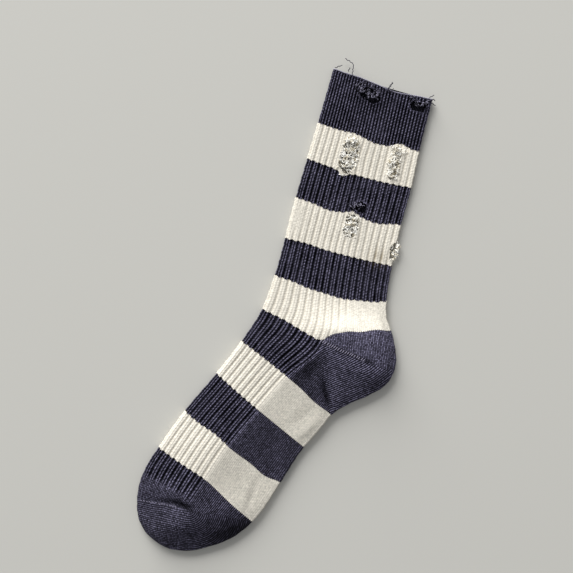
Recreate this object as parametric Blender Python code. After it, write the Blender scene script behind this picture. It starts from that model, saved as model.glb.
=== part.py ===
"""A worn striped crew sock, lying flat on its side.

The sock is one knitted tube that changes yarn eleven times, so it is modelled as eleven bands in a row.
Each band is a flattened tube of cloth with the lower wall on the table and the upper wall on top of it.
A band follows three lengthwise lines: the front edge (shin, instep and toes), the last rib, and the back
edge (calf, heel and sole). Knitted courses cross these three lines.

+Y runs up the leg, +X to the back of the heel and +Z away from the table. The origin is on the table,
under the middle of the sock.
"""

from collections import namedtuple
from math import cos, hypot, log, pi, radians, sin, sqrt

import bmesh
import bpy

MM = 0.001

# Cloth, in millimetres
SEAM_GAP = 0.3  # clearance between one band and the next
RIB_SHARE = 0.46  # share of the sock's width, from the front edge, where the last rib lies

# Faceting
FRONT_FACES = 5  # from the front fold to the last rib
BACK_FACES = 6  # from the last rib to the back fold
FOLD_FACES = 4  # round each fold
CURVE_STEPS = 10  # between two points of a lengthwise line

# Points of the three lengthwise lines, from the cuff down. A line's point with border=True ends a band.
Point = namedtuple("Point", "x y border")
FRONT_EDGE = [
    Point(-10.0, 182.0, True),
    Point(-12.5, 141.0, True),
    Point(-14.5, 114.0, True),
    Point(-16.5, 85.0, True),
    Point(-17.5, 55.0, True),
    Point(-19.0, 27.0, True),
    Point(-22.5, 1.5, True),
    Point(-32.0, -24.5, True),
    Point(-44.5, -51.0, True),
    Point(-61.0, -82.5, True),
    Point(-73.5, -112.0, True),
    Point(-78.4, -124.5, False),
    Point(-80.5, -139.0, False),
    Point(-79.2, -152.5, False),
    Point(-75.0, -165.5, False),
    Point(-68.0, -173.8, False),
    Point(-60.0, -178.7, True),
]
LAST_RIB = [
    Point(23.0, 177.8, True),
    Point(22.5, 137.5, True),
    Point(21.5, 109.9, True),
    Point(20.5, 81.8, True),
    Point(19.5, 52.4, True),
    Point(20.5, 21.9, True),
    Point(22.5, -11.5, True),
    Point(3.0, -41.0, True),
    Point(-12.0, -68.5, True),
    Point(-28.0, -99.5, True),
    Point(-39.0, -127.5, True),
    Point(-48.0, -152.0, False),
    Point(-55.0, -180.4, True),
]
BACK_EDGE = [
    Point(64.5, 175.5, True),
    Point(63.3, 136.5, True),
    Point(63.5, 109.5, True),
    Point(62.0, 82.0, True),
    Point(62.0, 52.0, True),
    Point(64.0, 26.0, True),
    Point(67.0, 14.0, False),
    Point(72.0, 6.5, True),
    Point(76.5, -3.5, False),
    Point(80.6, -18.0, False),
    Point(77.8, -32.0, False),
    Point(67.5, -43.0, False),
    Point(52.0, -53.2, False),
    Point(43.0, -62.5, True),
    Point(28.5, -89.0, True),
    Point(18.0, -118.0, True),
    Point(3.5, -149.5, True),
    Point(-8.0, -165.0, False),
    Point(-22.0, -174.5, False),
    Point(-37.0, -180.5, False),
    Point(-50.0, -181.5, True),
]

# Height of the two layers on each lengthwise line, and how sharply the course bends at the last rib
Border = namedtuple("Border", "front rib back kink")
BORDERS = [
    Border(4.6, 4.6, 4.6, 0.0),
    Border(4.6, 4.6, 4.6, 0.0),
    Border(4.6, 4.6, 4.6, 0.0),
    Border(4.6, 4.6, 4.6, 0.0),
    Border(4.6, 4.6, 4.6, 0.0),
    Border(4.8, 5.0, 4.8, 0.0),
    Border(5.4, 6.6, 6.2, 1.0),
    Border(5.6, 6.6, 5.6, 0.0),
    Border(5.2, 5.6, 4.8, 0.0),
    Border(5.0, 5.4, 4.8, 0.0),
    Border(5.6, 6.2, 5.2, 0.0),
    Border(5.2, 5.2, 5.2, 0.0),
]

# Bands from the cuff down: the yarn, the thickness of one layer, and the rows of facets. The heel and the
# toe are thicker pockets that dome up by dome at the share dome_at of the way from front to back.
Band = namedtuple("Band", "name yarn wall rows dome dome_at")
BANDS = [
    Band("cuff_navy", "navy", 1.9, 6, 0.0, 0.5),
    Band("leg_cream_upper", "cream", 1.9, 5, 0.0, 0.5),
    Band("leg_navy_upper", "navy", 1.9, 5, 0.0, 0.5),
    Band("leg_cream_lower", "cream", 1.9, 5, 0.0, 0.5),
    Band("leg_navy_lower", "navy", 1.9, 5, 0.0, 0.5),
    Band("ankle_cream", "cream", 1.9, 6, 0.0, 0.5),
    Band("heel_navy", "navy", 2.3, 10, 1.7, 0.68),
    Band("foot_cream_back", "cream", 1.9, 5, 0.0, 0.5),
    Band("foot_navy", "navy", 1.9, 5, 0.0, 0.5),
    Band("foot_cream_front", "cream", 1.9, 5, 0.0, 0.5),
    Band("toe_navy", "navy", 2.3, 12, 2.4, 0.4),
]
TOE = len(BANDS) - 1
TOE_INSIDE_ROWS = 10  # the pocket of the toe stops a wall's thickness short of its tip
TIP_CLOSING = 0.3  # share of the height that the last row of the toe keeps

# Holes worn through the upper layer. Lean turns the hole's long side clockwise, in degrees.
Hole = namedtuple("Hole", "name band x y width length lean")
HOLES = [
    Hole("cut_shin", "leg_cream_upper", 14.5, 124.0, 12.0, 21.0, 4.0),
    Hole("cut_calf", "leg_cream_upper", 48.0, 124.5, 9.0, 20.0, 0.0),
    Hole("cut_middle_navy", "leg_navy_upper", 30.5, 87.8, 9.5, 8.0, 0.0),
    Hole("cut_middle_cream", "leg_cream_lower", 28.0, 73.5, 10.0, 15.0, 0.0),
    Hole("cut_back_fold", "leg_cream_lower", 62.5, 62.5, 8.0, 13.0, 0.0),
]
HOLE_SIDES = 14
HOLE_SQUARENESS = 3.0  # 2 is an oval, and more is closer to a rectangle
CUTTER_RISE = 3.0  # how far a cutter stands above the cloth

# Frayed yarn on the cuff, as the space that each bunch of loops fills
Fray = namedtuple("Fray", "name x y width length height")
FRAYS = [
    Fray("fray_middle", 19.0, 171.0, 20.0, 14.0, 3.0),
    Fray("fray_back", 56.5, 171.3, 14.0, 12.0, 2.6),
]
FRAY_GAP = 0.3
FRAY_SIDES = 16
FRAY_RINGS = 3

COLOURS = {
    "navy": (0.030, 0.027, 0.045),
    "cream": (0.680, 0.650, 0.560),
}
ROUGHNESS = 0.95


# ---------------------------------------------------------------------------------------------------
# Curves in the plane of the table
# ---------------------------------------------------------------------------------------------------


def direction(start, end):
    """The unit vector from one point to another, and the distance between them."""
    span = hypot(end.x - start.x, end.y - start.y)
    return (end.x - start.x) / span, (end.y - start.y) / span, span


def slope_at(points, i):
    """The curve's direction at point i, weighted by the lengths of its two neighbouring spans."""
    if i == 0:
        return direction(points[0], points[1])[:2]
    if i == len(points) - 1:
        return direction(points[-2], points[-1])[:2]
    in_x, in_y, span_in = direction(points[i - 1], points[i])
    out_x, out_y, span_out = direction(points[i], points[i + 1])
    x = in_x * span_out + out_x * span_in
    y = in_y * span_out + out_y * span_in
    return x / hypot(x, y), y / hypot(x, y)


def smooth_run(points):
    """A smooth curve through the points, as closely spaced (x, y) pairs, with its borders' places."""
    run = []
    borders = []
    for i, here in enumerate(points):
        if here.border:
            borders.append(len(run))
        if i == len(points) - 1:
            run.append((here.x, here.y))
            break
        after = points[i + 1]
        span = hypot(after.x - here.x, after.y - here.y)
        start, end = slope_at(points, i), slope_at(points, i + 1)
        for step in range(CURVE_STEPS):
            t = step / CURVE_STEPS
            a = 2 * t**3 - 3 * t**2 + 1
            b = t**3 - 2 * t**2 + t
            c = 3 * t**2 - 2 * t**3
            d = t**3 - t**2
            x = a * here.x + b * span * start[0] + c * after.x + d * span * end[0]
            y = a * here.y + b * span * start[1] + c * after.y + d * span * end[1]
            run.append((x, y))
    return run, borders


class Lengthwise:
    """One of the sock's lengthwise lines, read by band and by the share of that band's length."""

    def __init__(self, points):
        self.run, self.borders = smooth_run(points)
        self.length = [0.0]
        for (x0, y0), (x1, y1) in zip(self.run, self.run[1:]):
            self.length.append(self.length[-1] + hypot(x1 - x0, y1 - y0))

    def at(self, band, share):
        first, last = self.borders[band], self.borders[band + 1]
        goal = self.length[first] + share * (self.length[last] - self.length[first])
        i = first
        while i < last - 1 and self.length[i + 1] < goal:
            i += 1
        t = (goal - self.length[i]) / (self.length[i + 1] - self.length[i])
        (x0, y0), (x1, y1) = self.run[i], self.run[i + 1]
        return x0 + t * (x1 - x0), y0 + t * (y1 - y0)


FRONT = Lengthwise(FRONT_EDGE)
RIB = Lengthwise(LAST_RIB)
BACK = Lengthwise(BACK_EDGE)


def through_three(u, front, rib, back):
    """The value at u of the parabola that is front at 0, rib at RIB_SHARE and back at 1."""
    k = RIB_SHARE
    at_front = (u - k) * (u - 1) / k
    at_rib = u * (1 - u) / (k * (1 - k))
    at_back = u * (u - k) / (1 - k)
    return at_front * front + at_rib * rib + at_back * back


class Course:
    """One knitted course: a line across the sock, and the height of the two layers along it."""

    def __init__(self, band, share):
        self.front = FRONT.at(band, share)
        self.rib = RIB.at(band, share)
        self.back = BACK.at(band, share)
        self.width = hypot(self.back[0] - self.front[0], self.back[1] - self.front[1])
        mixed = [a + share * (b - a) for a, b in zip(BORDERS[band], BORDERS[band + 1])]
        self.border = Border(*mixed)
        self.dome = BANDS[band].dome * sin(pi * share)
        self.dome_power = log(0.5) / log(BANDS[band].dome_at)
        self.closing = 1.0
        if band == TOE:
            self.closing = self.toe_closing()

    def toe_closing(self):
        """The share of the height that is left near the tip of the toe, where the layers meet in a round."""
        tip = RIB.at(TOE, 1.0)
        radius = self.height_at(RIB_SHARE) / 2
        to_tip = hypot(self.rib[0] - tip[0], self.rib[1] - tip[1])
        if to_tip >= radius:
            return 1.0
        return max(TIP_CLOSING, sqrt(1 - (1 - to_tip / radius) ** 2))

    def height_at(self, u):
        height = through_three(u, self.border.front, self.border.rib, self.border.back)
        return height + self.dome * sin(pi * u**self.dome_power)

    def point(self, u, z):
        """The point at height z, at share u of the way from the front edge to the back edge."""
        place = []
        for front, rib, back in zip(self.front, self.rib, self.back):
            bowed = through_three(u, front, rib, back)
            if u < RIB_SHARE:
                bent = front + (rib - front) * u / RIB_SHARE
            else:
                bent = rib + (back - rib) * (u - RIB_SHARE) / (1 - RIB_SHARE)
            place.append(bowed + self.border.kink * (bent - bowed))
        return place[0], place[1], z

    def fold(self, edge, turn, inset, side):
        """A point on the front fold (edge 0) or the back fold (edge 1), turned up or down from its rim."""
        radius = self.height_at(edge) / 2
        reach = (radius - (radius - inset) * cos(turn)) / self.width
        u = reach if edge == 0 else 1 - reach
        return self.point(u, radius + side * (radius * self.closing - inset) * sin(turn))

    def layer(self, u, inset, side):
        """A point of the upper layer (side 1) or of the lower one (side -1)."""
        middle = self.height_at(u) / 2
        return self.point(u, middle + side * (middle * self.closing - inset))

    def half_ring(self, inset, side):
        """The points over one layer, from the front rim up to, but not at, the back rim."""
        quarter = FOLD_FACES // 2
        start = self.height_at(0) / 2 / self.width
        end = 1 - self.height_at(1) / 2 / self.width
        points = []
        for i in range(quarter):
            points.append(self.fold(0, pi / 2 * i / quarter, inset, side))
        for i in range(FRONT_FACES):
            points.append(self.layer(start + (RIB_SHARE - start) * i / FRONT_FACES, inset, side))
        for i in range(BACK_FACES):
            points.append(self.layer(RIB_SHARE + (end - RIB_SHARE) * i / BACK_FACES, inset, side))
        for i in range(quarter):
            points.append(self.fold(1, pi / 2 * (1 - i / quarter), inset, side))
        return points

    def ring(self, inset):
        """A closed ring of points round the two layers, moved inwards by inset."""
        upper = self.half_ring(inset, 1)
        lower = self.half_ring(inset, -1)
        return upper + [self.fold(1, 0.0, inset, 1)] + lower[:0:-1]


# ---------------------------------------------------------------------------------------------------
# Cloth
# ---------------------------------------------------------------------------------------------------


def trim(rings, distance):
    """Move the first ring towards the second, to leave half a seam's gap at a border."""
    trimmed = []
    for start, end in zip(rings[0], rings[1]):
        span = sqrt(sum((b - a) ** 2 for a, b in zip(start, end)))
        trimmed.append(tuple(a + (b - a) * distance / span for a, b in zip(start, end)))
    rings[0] = trimmed


def rows_of(band):
    """The shares of the band's length at which its rings lie. The toe's rings crowd towards its tip."""
    count = BANDS[band].rows
    if band < TOE:
        return [i / count for i in range(count + 1)]
    return [sin(pi / 2 * i / count) for i in range(count + 1)]


def rings_of(band, inset):
    """The band's rings at the given inset, from its upper border to its lower one."""
    shares = rows_of(band)
    if band == TOE and inset:
        shares = shares[:TOE_INSIDE_ROWS]
    rings = [Course(band, share).ring(inset) for share in shares]
    if band > 0:
        trim(rings, SEAM_GAP / 2)
    if band < TOE:
        rings.reverse()
        trim(rings, SEAM_GAP / 2)
        rings.reverse()
    return rings


def add_rings(bm, rings):
    return [[bm.verts.new([MM * value for value in point]) for point in ring] for ring in rings]


def skin(bm, rings, inwards):
    """Faces between each ring and the next."""
    for above, below in zip(rings, rings[1:]):
        count = len(above)
        for i in range(count):
            j = (i + 1) % count
            corners = [above[i], above[j], below[j], below[i]]
            if inwards:
                corners.reverse()
            bm.faces.new(corners)


def rim(bm, outer, inner, upward):
    """The cut edge of the cloth, between the outer ring and the inner one."""
    count = len(outer)
    for i in range(count):
        j = (i + 1) % count
        corners = [outer[j], outer[i], inner[i], inner[j]]
        if not upward:
            corners.reverse()
        bm.faces.new(corners)


def close_end(bm, ring, outwards):
    """Close a pocket's end with faces that join the upper layer to the lower one."""
    half = len(ring) // 2
    for i in range(half):
        upper_a, upper_b = ring[i], ring[i + 1]
        lower_a, lower_b = ring[-i], ring[-i - 1]
        corners = [upper_a, upper_b]
        if lower_b is not upper_b:
            corners.append(lower_b)
        if lower_a is not upper_a:
            corners.append(lower_a)
        if not outwards:
            corners.reverse()
        bm.faces.new(corners)


def band_mesh(band):
    bm = bmesh.new()
    outer = add_rings(bm, rings_of(band, 0.0))
    inner = add_rings(bm, rings_of(band, BANDS[band].wall))
    skin(bm, outer, inwards=False)
    skin(bm, inner, inwards=True)
    rim(bm, outer[0], inner[0], upward=True)
    if band < TOE:
        rim(bm, outer[-1], inner[-1], upward=False)
    else:
        close_end(bm, outer[-1], outwards=True)
        close_end(bm, inner[-1], outwards=False)
    bmesh.ops.recalc_face_normals(bm, faces=bm.faces)
    mesh = bpy.data.meshes.new(BANDS[band].name)
    bm.to_mesh(mesh)
    bm.free()
    return mesh


def layer_height(band):
    """The height of a leg band's two layers at its middle."""
    return Course(band, 0.5).height_at(0.5)


def cutter(hole, height):
    """A block of the hole's outline, from between the two layers to above the cloth."""
    bm = bmesh.new()
    lean = radians(hole.lean)
    rims = []
    for z in (height / 2, height + CUTTER_RISE):
        corners = []
        for i in range(HOLE_SIDES):
            turn = 2 * pi * (i + 0.5) / HOLE_SIDES
            reach = (abs(cos(turn)) ** HOLE_SQUARENESS + abs(sin(turn)) ** HOLE_SQUARENESS)
            reach **= -1 / HOLE_SQUARENESS
            across = hole.width / 2 * reach * cos(turn)
            along = hole.length / 2 * reach * sin(turn)
            x = hole.x + across * cos(lean) + along * sin(lean)
            y = hole.y - across * sin(lean) + along * cos(lean)
            corners.append(bm.verts.new((MM * x, MM * y, MM * z)))
        rims.append(corners)
    skin(bm, rims, inwards=False)
    bm.faces.new(rims[0])
    bm.faces.new(rims[1])
    bmesh.ops.recalc_face_normals(bm, faces=bm.faces)
    mesh = bpy.data.meshes.new(hole.name)
    bm.to_mesh(mesh)
    bm.free()
    tool = bpy.data.objects.new(hole.name, mesh)
    tool.hide_render = True
    tool.display_type = "WIRE"
    bpy.context.scene.collection.objects.link(tool)
    return tool


def fray_mesh(fray, floor):
    """A low cushion shape with a flat underside: the space that a bunch of loops fills."""
    bm = bmesh.new()
    rings = []
    for level in range(FRAY_RINGS):
        tilt = pi / 2 * level / FRAY_RINGS
        ring = []
        for i in range(FRAY_SIDES):
            turn = -2 * pi * i / FRAY_SIDES
            x = fray.x + fray.width / 2 * cos(tilt) * cos(turn)
            y = fray.y + fray.length / 2 * cos(tilt) * sin(turn)
            z = floor + fray.height * sin(tilt)
            ring.append(bm.verts.new((MM * x, MM * y, MM * z)))
        rings.append(ring)
    skin(bm, rings, inwards=False)
    bm.faces.new(rings[0])
    top = bm.verts.new((MM * fray.x, MM * fray.y, MM * (floor + fray.height)))
    for i in range(FRAY_SIDES):
        bm.faces.new((rings[-1][i], rings[-1][(i + 1) % FRAY_SIDES], top))
    bmesh.ops.recalc_face_normals(bm, faces=bm.faces)
    mesh = bpy.data.meshes.new(fray.name)
    bm.to_mesh(mesh)
    bm.free()
    return mesh


# ---------------------------------------------------------------------------------------------------
# Objects
# ---------------------------------------------------------------------------------------------------


def yarn_material(name, yarn):
    material = bpy.data.materials.new(f"{name}_yarn")
    material.use_nodes = True
    shader = material.node_tree.nodes["Principled BSDF"]
    shader.inputs["Base Color"].default_value = (*COLOURS[yarn], 1.0)
    shader.inputs["Roughness"].default_value = ROUGHNESS
    shader.inputs["Metallic"].default_value = 0.0
    material.diffuse_color = (*COLOURS[yarn], 1.0)
    return material


def place(name, mesh, yarn):
    obj = bpy.data.objects.new(name, mesh)
    obj.data.materials.append(yarn_material(name, yarn))
    bpy.context.scene.collection.objects.link(obj)
    return obj


def cut(obj, tool):
    modifier = obj.modifiers.new(tool.name, "BOOLEAN")
    modifier.operation = "DIFFERENCE"
    modifier.solver = "EXACT"
    modifier.object = tool


def build_sock():
    for obj in list(bpy.data.objects):
        bpy.data.objects.remove(obj, do_unlink=True)
    numbers = {band.name: i for i, band in enumerate(BANDS)}
    cloth = {}
    for band in BANDS:
        cloth[band.name] = place(band.name, band_mesh(numbers[band.name]), band.yarn)
    for hole in HOLES:
        height = layer_height(numbers[hole.band])
        cut(cloth[hole.band], cutter(hole, height))
    for fray in FRAYS:
        floor = layer_height(numbers["cuff_navy"]) + FRAY_GAP
        place(fray.name, fray_mesh(fray, floor), "navy")


build_sock()
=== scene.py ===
# %% [markdown]
# # A worn striped crew sock, lying flat
#
# This lesson dresses a plain model of a sock in knitted cloth. The sock is one knitted tube, pressed flat
# on a table. It changes yarn ten times on its way from the cuff to the toe, its leg and instep are
# ribbed, and it is well worn: ladders in the leg, a frayed cuff, and a patch rubbed smooth. The frame
# holds the plain solids at their real size, and every piece made here lies where its solid lies.

# %% Load the frame
from collections import namedtuple
from math import cos, pi, radians, sin

import bmesh
import bpy
import numpy as np
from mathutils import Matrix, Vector


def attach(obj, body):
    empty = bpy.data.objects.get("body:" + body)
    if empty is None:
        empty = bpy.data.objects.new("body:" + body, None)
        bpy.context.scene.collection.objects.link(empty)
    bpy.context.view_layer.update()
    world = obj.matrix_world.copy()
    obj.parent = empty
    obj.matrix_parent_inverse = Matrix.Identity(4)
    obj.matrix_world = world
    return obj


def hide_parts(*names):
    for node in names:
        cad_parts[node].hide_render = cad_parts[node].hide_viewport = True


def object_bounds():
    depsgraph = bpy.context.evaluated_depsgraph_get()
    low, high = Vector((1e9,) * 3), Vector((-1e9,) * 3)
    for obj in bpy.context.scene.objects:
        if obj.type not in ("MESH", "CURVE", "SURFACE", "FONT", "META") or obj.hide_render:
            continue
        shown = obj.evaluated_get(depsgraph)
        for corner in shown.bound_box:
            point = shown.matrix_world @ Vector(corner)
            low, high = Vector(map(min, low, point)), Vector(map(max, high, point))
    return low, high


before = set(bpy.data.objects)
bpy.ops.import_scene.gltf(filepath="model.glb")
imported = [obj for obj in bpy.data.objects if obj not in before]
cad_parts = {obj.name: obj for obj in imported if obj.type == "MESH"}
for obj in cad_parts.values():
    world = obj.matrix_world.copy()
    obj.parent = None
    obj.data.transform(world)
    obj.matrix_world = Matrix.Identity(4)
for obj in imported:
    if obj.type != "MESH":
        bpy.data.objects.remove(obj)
cad_low, cad_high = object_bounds()
MM = 0.001
cad_size = cad_high - cad_low
print("sock: %.0f x %.0f x %.1f mm" % tuple(value / MM for value in cad_size))

# %% [markdown]
# ## Camera, table and light
#
# The sock is seen from straight above, turned a little, with its cuff at the upper right. A long lens
# from straight above keeps the two edges of a flat thing parallel. The camera turns about its own axis,
# so the frame's +Y runs up and a little to the left in the picture.

# %% Camera
FRAME_WIDTH = 0.4126  # of the table, that the picture shows
LENS = 50.0
SENSOR = 36.0
PICTURE_TURN = radians(12.6)
AIM = Vector((-0.0086, 0.0209, 0.005))

camera_data = bpy.data.cameras.new("camera")
camera_data.lens = LENS
camera_data.sensor_width = SENSOR
camera_data.clip_start = 0.01
camera = bpy.data.objects.new("camera", camera_data)
camera.location = AIM + Vector((0, 0, FRAME_WIDTH * LENS / SENSOR))
camera.rotation_euler = (0, 0, PICTURE_TURN)
bpy.context.scene.collection.objects.link(camera)
bpy.context.scene.camera = camera
bpy.context.scene.view_settings.view_transform = "Standard"
print("camera %.0f mm above the table" % (camera.location.z / MM))

# %% [markdown]
# A node tree, for a material or for Geometry Nodes, is a set of nodes and links. The helpers below keep
# the trees short. One adds a node with its settings and inputs. The others wrap what a node gives as a
# Value, so that a sum in a tree is written as a sum, and each step of it adds its own Math node.

# %% Node helpers
GN = "GeometryNode"


def plug(tree, value, socket):
    """Link a value to a socket, or set the socket to a plain number or colour."""
    value = value.socket if isinstance(value, Value) else value
    if isinstance(value, bpy.types.NodeSocket):
        tree.links.new(value, socket)
    elif socket.type == "RGBA":
        socket.default_value = (*value, 1.0)
    else:
        socket.default_value = value


def add_node(tree, kind, inputs=None, **settings):
    node = tree.nodes.new(kind)
    for name, value in settings.items():
        setattr(node, name, value)
    for key, value in (inputs or {}).items():
        plug(tree, value, node.inputs[key])
    return node


class Value:
    """What a node gives. If it's a number, it can be reckoned with, and each step adds a Math node."""

    def __init__(self, tree, socket):
        self.tree = tree
        self.socket = socket

    def __add__(self, other):
        return maths("ADD", self, other)

    def __sub__(self, other):
        return maths("SUBTRACT", self, other)

    def __rsub__(self, other):
        return maths("SUBTRACT", other, self)

    def __mul__(self, other):
        return maths("MULTIPLY", self, other)

    def __truediv__(self, other):
        return maths("DIVIDE", self, other)

    def __rtruediv__(self, other):
        return maths("DIVIDE", other, self)

    def __pow__(self, other):
        return maths("POWER", self, other)


def result(tree, kind, inputs=None, output=0, **settings):
    return Value(tree, add_node(tree, kind, inputs, **settings).outputs[output])


def maths(operation, *values):
    tree = next(value.tree for value in values if isinstance(value, Value))
    return result(tree, "ShaderNodeMath", dict(enumerate(values)), operation=operation)


def vectors(tree, operation, first, second=None, scale=None):
    given = {0: first, 1: second, "Scale": scale}
    inputs = {key: value for key, value in given.items() if value is not None}
    return result(tree, "ShaderNodeVectorMath", inputs, operation=operation)


def attribute(tree, name):
    """A number that the mesh carries at each point, by its name."""
    if tree.type == "GEOMETRY":
        return result(tree, GN + "InputNamedAttribute", {"Name": name}, "Attribute", data_type="FLOAT")
    return result(tree, "ShaderNodeAttribute", output="Fac", attribute_name=name)


def smooth_step(value, low, high, at_low=0.0, at_high=1.0):
    inputs = {"Value": value, "From Min": low, "From Max": high, "To Min": at_low, "To Max": at_high}
    return result(value.tree, "ShaderNodeMapRange", inputs, interpolation_type="SMOOTHSTEP")


def mix_colours(tree, share, first, second, blend="MIX"):
    node = add_node(tree, "ShaderNodeMix", data_type="RGBA", blend_type=blend)
    for number, value in zip((0, 6, 7), (share, first, second)):
        plug(tree, value, node.inputs[number])
    return Value(tree, node.outputs[2])


scratch = bpy.data.node_groups.new("scratch", "GeometryNodeTree")
print("index * 2 + 1 takes %d nodes" % len((result(scratch, GN + "InputIndex") * 2 + 1).tree.nodes))
bpy.data.node_groups.remove(scratch)

# %% [markdown]
# The table is one pale plane. One broad lamp stands low beyond the cuff, a little to the left, so that
# each rib and each stitch has a lit side and a shaded side. The pale sky of the world fills the shadows.
# The lamp is wide, because a small one would draw hard black lines.

# %% Table and lamp
TABLE_COLOUR = (0.562, 0.553, 0.513)
TABLE_SIDE = 3.0
LAMP_TURN = radians(111)  # in the picture, from its right-hand side
LAMP_RISE = radians(22)
LAMP_DISTANCE = 7.0
LAMP_SIDE = 5.5
LAMP_POWER = 980.0
SKY_COLOUR = (0.96, 0.975, 1.0)
SKY_STRENGTH = 0.38
BACKDROP_COLOUR = (0.60, 0.61, 0.60)  # only seen past the table, from the sides


def plain_material(name, colour, roughness):
    material = bpy.data.materials.new(name)
    material.use_nodes = True
    shader = material.node_tree.nodes["Principled BSDF"]
    shader.inputs["Base Color"].default_value = (*colour, 1.0)
    shader.inputs["Roughness"].default_value = roughness
    shader.inputs["Specular IOR Level"].default_value = 0.2
    return material


half = TABLE_SIDE / 2
table_mesh = bpy.data.meshes.new("table")
corners = [(-half, -half, 0), (half, -half, 0), (half, half, 0), (-half, half, 0)]
table_mesh.from_pydata(corners, [], [(0, 1, 2, 3)])
table_mesh.materials.append(plain_material("pale_table", TABLE_COLOUR, 0.8))
table = bpy.data.objects.new("table", table_mesh)
table.location.z = -0.0002
bpy.context.scene.collection.objects.link(table)

lamp_data = bpy.data.lights.new("window", "AREA")
lamp_data.size = LAMP_SIDE
lamp_data.energy = LAMP_POWER
lamp = bpy.data.objects.new("window", lamp_data)
turn = LAMP_TURN + PICTURE_TURN
to_lamp = Vector((cos(turn) * cos(LAMP_RISE), sin(turn) * cos(LAMP_RISE), sin(LAMP_RISE)))
lamp.location = AIM + to_lamp * LAMP_DISTANCE
lamp.rotation_euler = (-to_lamp).to_track_quat("-Z", "Y").to_euler()
bpy.context.scene.collection.objects.link(lamp)

world = bpy.data.worlds.new("sky")
world.use_nodes = True
background = world.node_tree.nodes["Background"]
background.inputs["Color"].default_value = (*SKY_COLOUR, 1.0)
background.inputs["Strength"].default_value = SKY_STRENGTH
backdrop = result(world.node_tree, "ShaderNodeBackground", {"Color": BACKDROP_COLOUR})
seen = result(world.node_tree, "ShaderNodeLightPath", output="Is Camera Ray")
both = result(world.node_tree, "ShaderNodeMixShader", {0: seen, 1: background.outputs[0], 2: backdrop})
plug(world.node_tree, both, world.node_tree.nodes["World Output"].inputs["Surface"])
bpy.context.scene.world = world
print("lamp %.1f m away, %.0f degrees up" % (LAMP_DISTANCE, LAMP_RISE * 180 / pi))

# %% [markdown]
# ## The sock's three lengthwise lines
#
# A flattened tube is drawn by its two folds. A third line between them, the last rib, says where the
# ribbed instep ends and the plain sole and heel begin. One closed outline would give the same edge, but
# lengthwise lines also say how far down the sock each place is, and every stitch needs to know that. Each
# table below goes from the cuff down, in millimetres. The yarn changes at each point, apart from those
# marked False, which only shape the line. A smooth curve through the points gives the rest.

# %% Lengthwise lines
Point = namedtuple("Point", "x y border", defaults=[True])
FRONT_EDGE = [
    Point(-10.0, 182.0),
    Point(-12.5, 141.0),
    Point(-14.5, 114.4),
    Point(-16.5, 85.0),
    Point(-17.5, 55.0),
    Point(-19.0, 27.0),
    Point(-22.5, 1.5),
    Point(-32.0, -24.5),
    Point(-44.5, -51.0),
    Point(-61.0, -82.5),
    Point(-73.5, -112.0),
    Point(-78.4, -124.5, False),
    Point(-81.2, -139.3, False),
    Point(-80.4, -153.0, False),
    Point(-76.1, -166.3, False),
    Point(-68.8, -174.8, False),
    Point(-60.4, -179.6),
]
LAST_RIB = [
    Point(23.0, 177.8),
    Point(22.5, 137.5),
    Point(21.5, 110.3),
    Point(20.5, 81.8),
    Point(19.5, 52.4),
    Point(20.5, 21.9),
    Point(22.5, -11.5),
    Point(3.0, -41.0),
    Point(-12.0, -68.5),
    Point(-28.0, -99.5),
    Point(-39.0, -127.5),
    Point(-48.0, -152.0, False),
    Point(-55.2, -181.2),
]
BACK_EDGE = [
    Point(65.1, 175.6),
    Point(64.0, 136.6),
    Point(64.1, 110.1),
    Point(62.7, 82.0),
    Point(62.7, 52.0),
    Point(64.5, 26.1),
    Point(67.3, 14.1, False),
    Point(72.0, 6.5),
    Point(76.8, -3.3, False),
    Point(80.8, -18.0, False),
    Point(77.5, -31.7, False),
    Point(67.1, -42.3, False),
    Point(52.2, -53.4, False),
    Point(43.2, -62.6),
    Point(38.7, -72.0, False),
    Point(33.5, -81.8, False),
    Point(29.2, -89.4),
    Point(18.1, -118.1),
    Point(4.6, -150.1),
    Point(-8.0, -165.2, False),
    Point(-22.0, -174.4, False),
    Point(-37.2, -181.0, False),
    Point(-50.2, -182.3),
]
CURVE_STEPS = 10


def unit(vector):
    return vector / np.hypot(*vector)


class Lengthwise:
    """A smooth line through a table's points, read by band and by the share of that band's length."""

    def __init__(self, points):
        places = np.array([(point.x, point.y) for point in points])
        steps = np.diff(places, axis=0)
        spans = np.hypot(*steps.T)
        slopes = [unit(steps[0])]
        for i in range(1, len(steps)):
            slopes.append(unit(steps[i - 1] / spans[i - 1] * spans[i] + steps[i] / spans[i] * spans[i - 1]))
        slopes.append(unit(steps[-1]))
        t = np.arange(CURVE_STEPS)[:, None] / CURVE_STEPS
        run = []
        for i, span in enumerate(spans):
            run.extend(
                (2 * t**3 - 3 * t**2 + 1) * places[i]
                + (t**3 - 2 * t**2 + t) * span * slopes[i]
                + (3 * t**2 - 2 * t**3) * places[i + 1]
                + (t**3 - t**2) * span * slopes[i + 1]
            )
        self.run = np.array(run + [places[-1]])
        self.length = np.append(0, np.cumsum(np.hypot(*np.diff(self.run, axis=0).T)))
        marks = [i * CURVE_STEPS for i, point in enumerate(points) if point.border]
        self.marks = self.length[marks]

    def at(self, band, share):
        goal = self.marks[band] + share * (self.marks[band + 1] - self.marks[band])
        return np.stack([np.interp(goal, self.length, self.run[:, axis]) for axis in (0, 1)], axis=-1)

    def span(self, band):
        return self.marks[band + 1] - self.marks[band]


FRONT = Lengthwise(FRONT_EDGE)
RIB = Lengthwise(LAST_RIB)
BACK = Lengthwise(BACK_EDGE)
print("last rib line: %.0f mm from cuff to toe" % RIB.length[-1])

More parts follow.
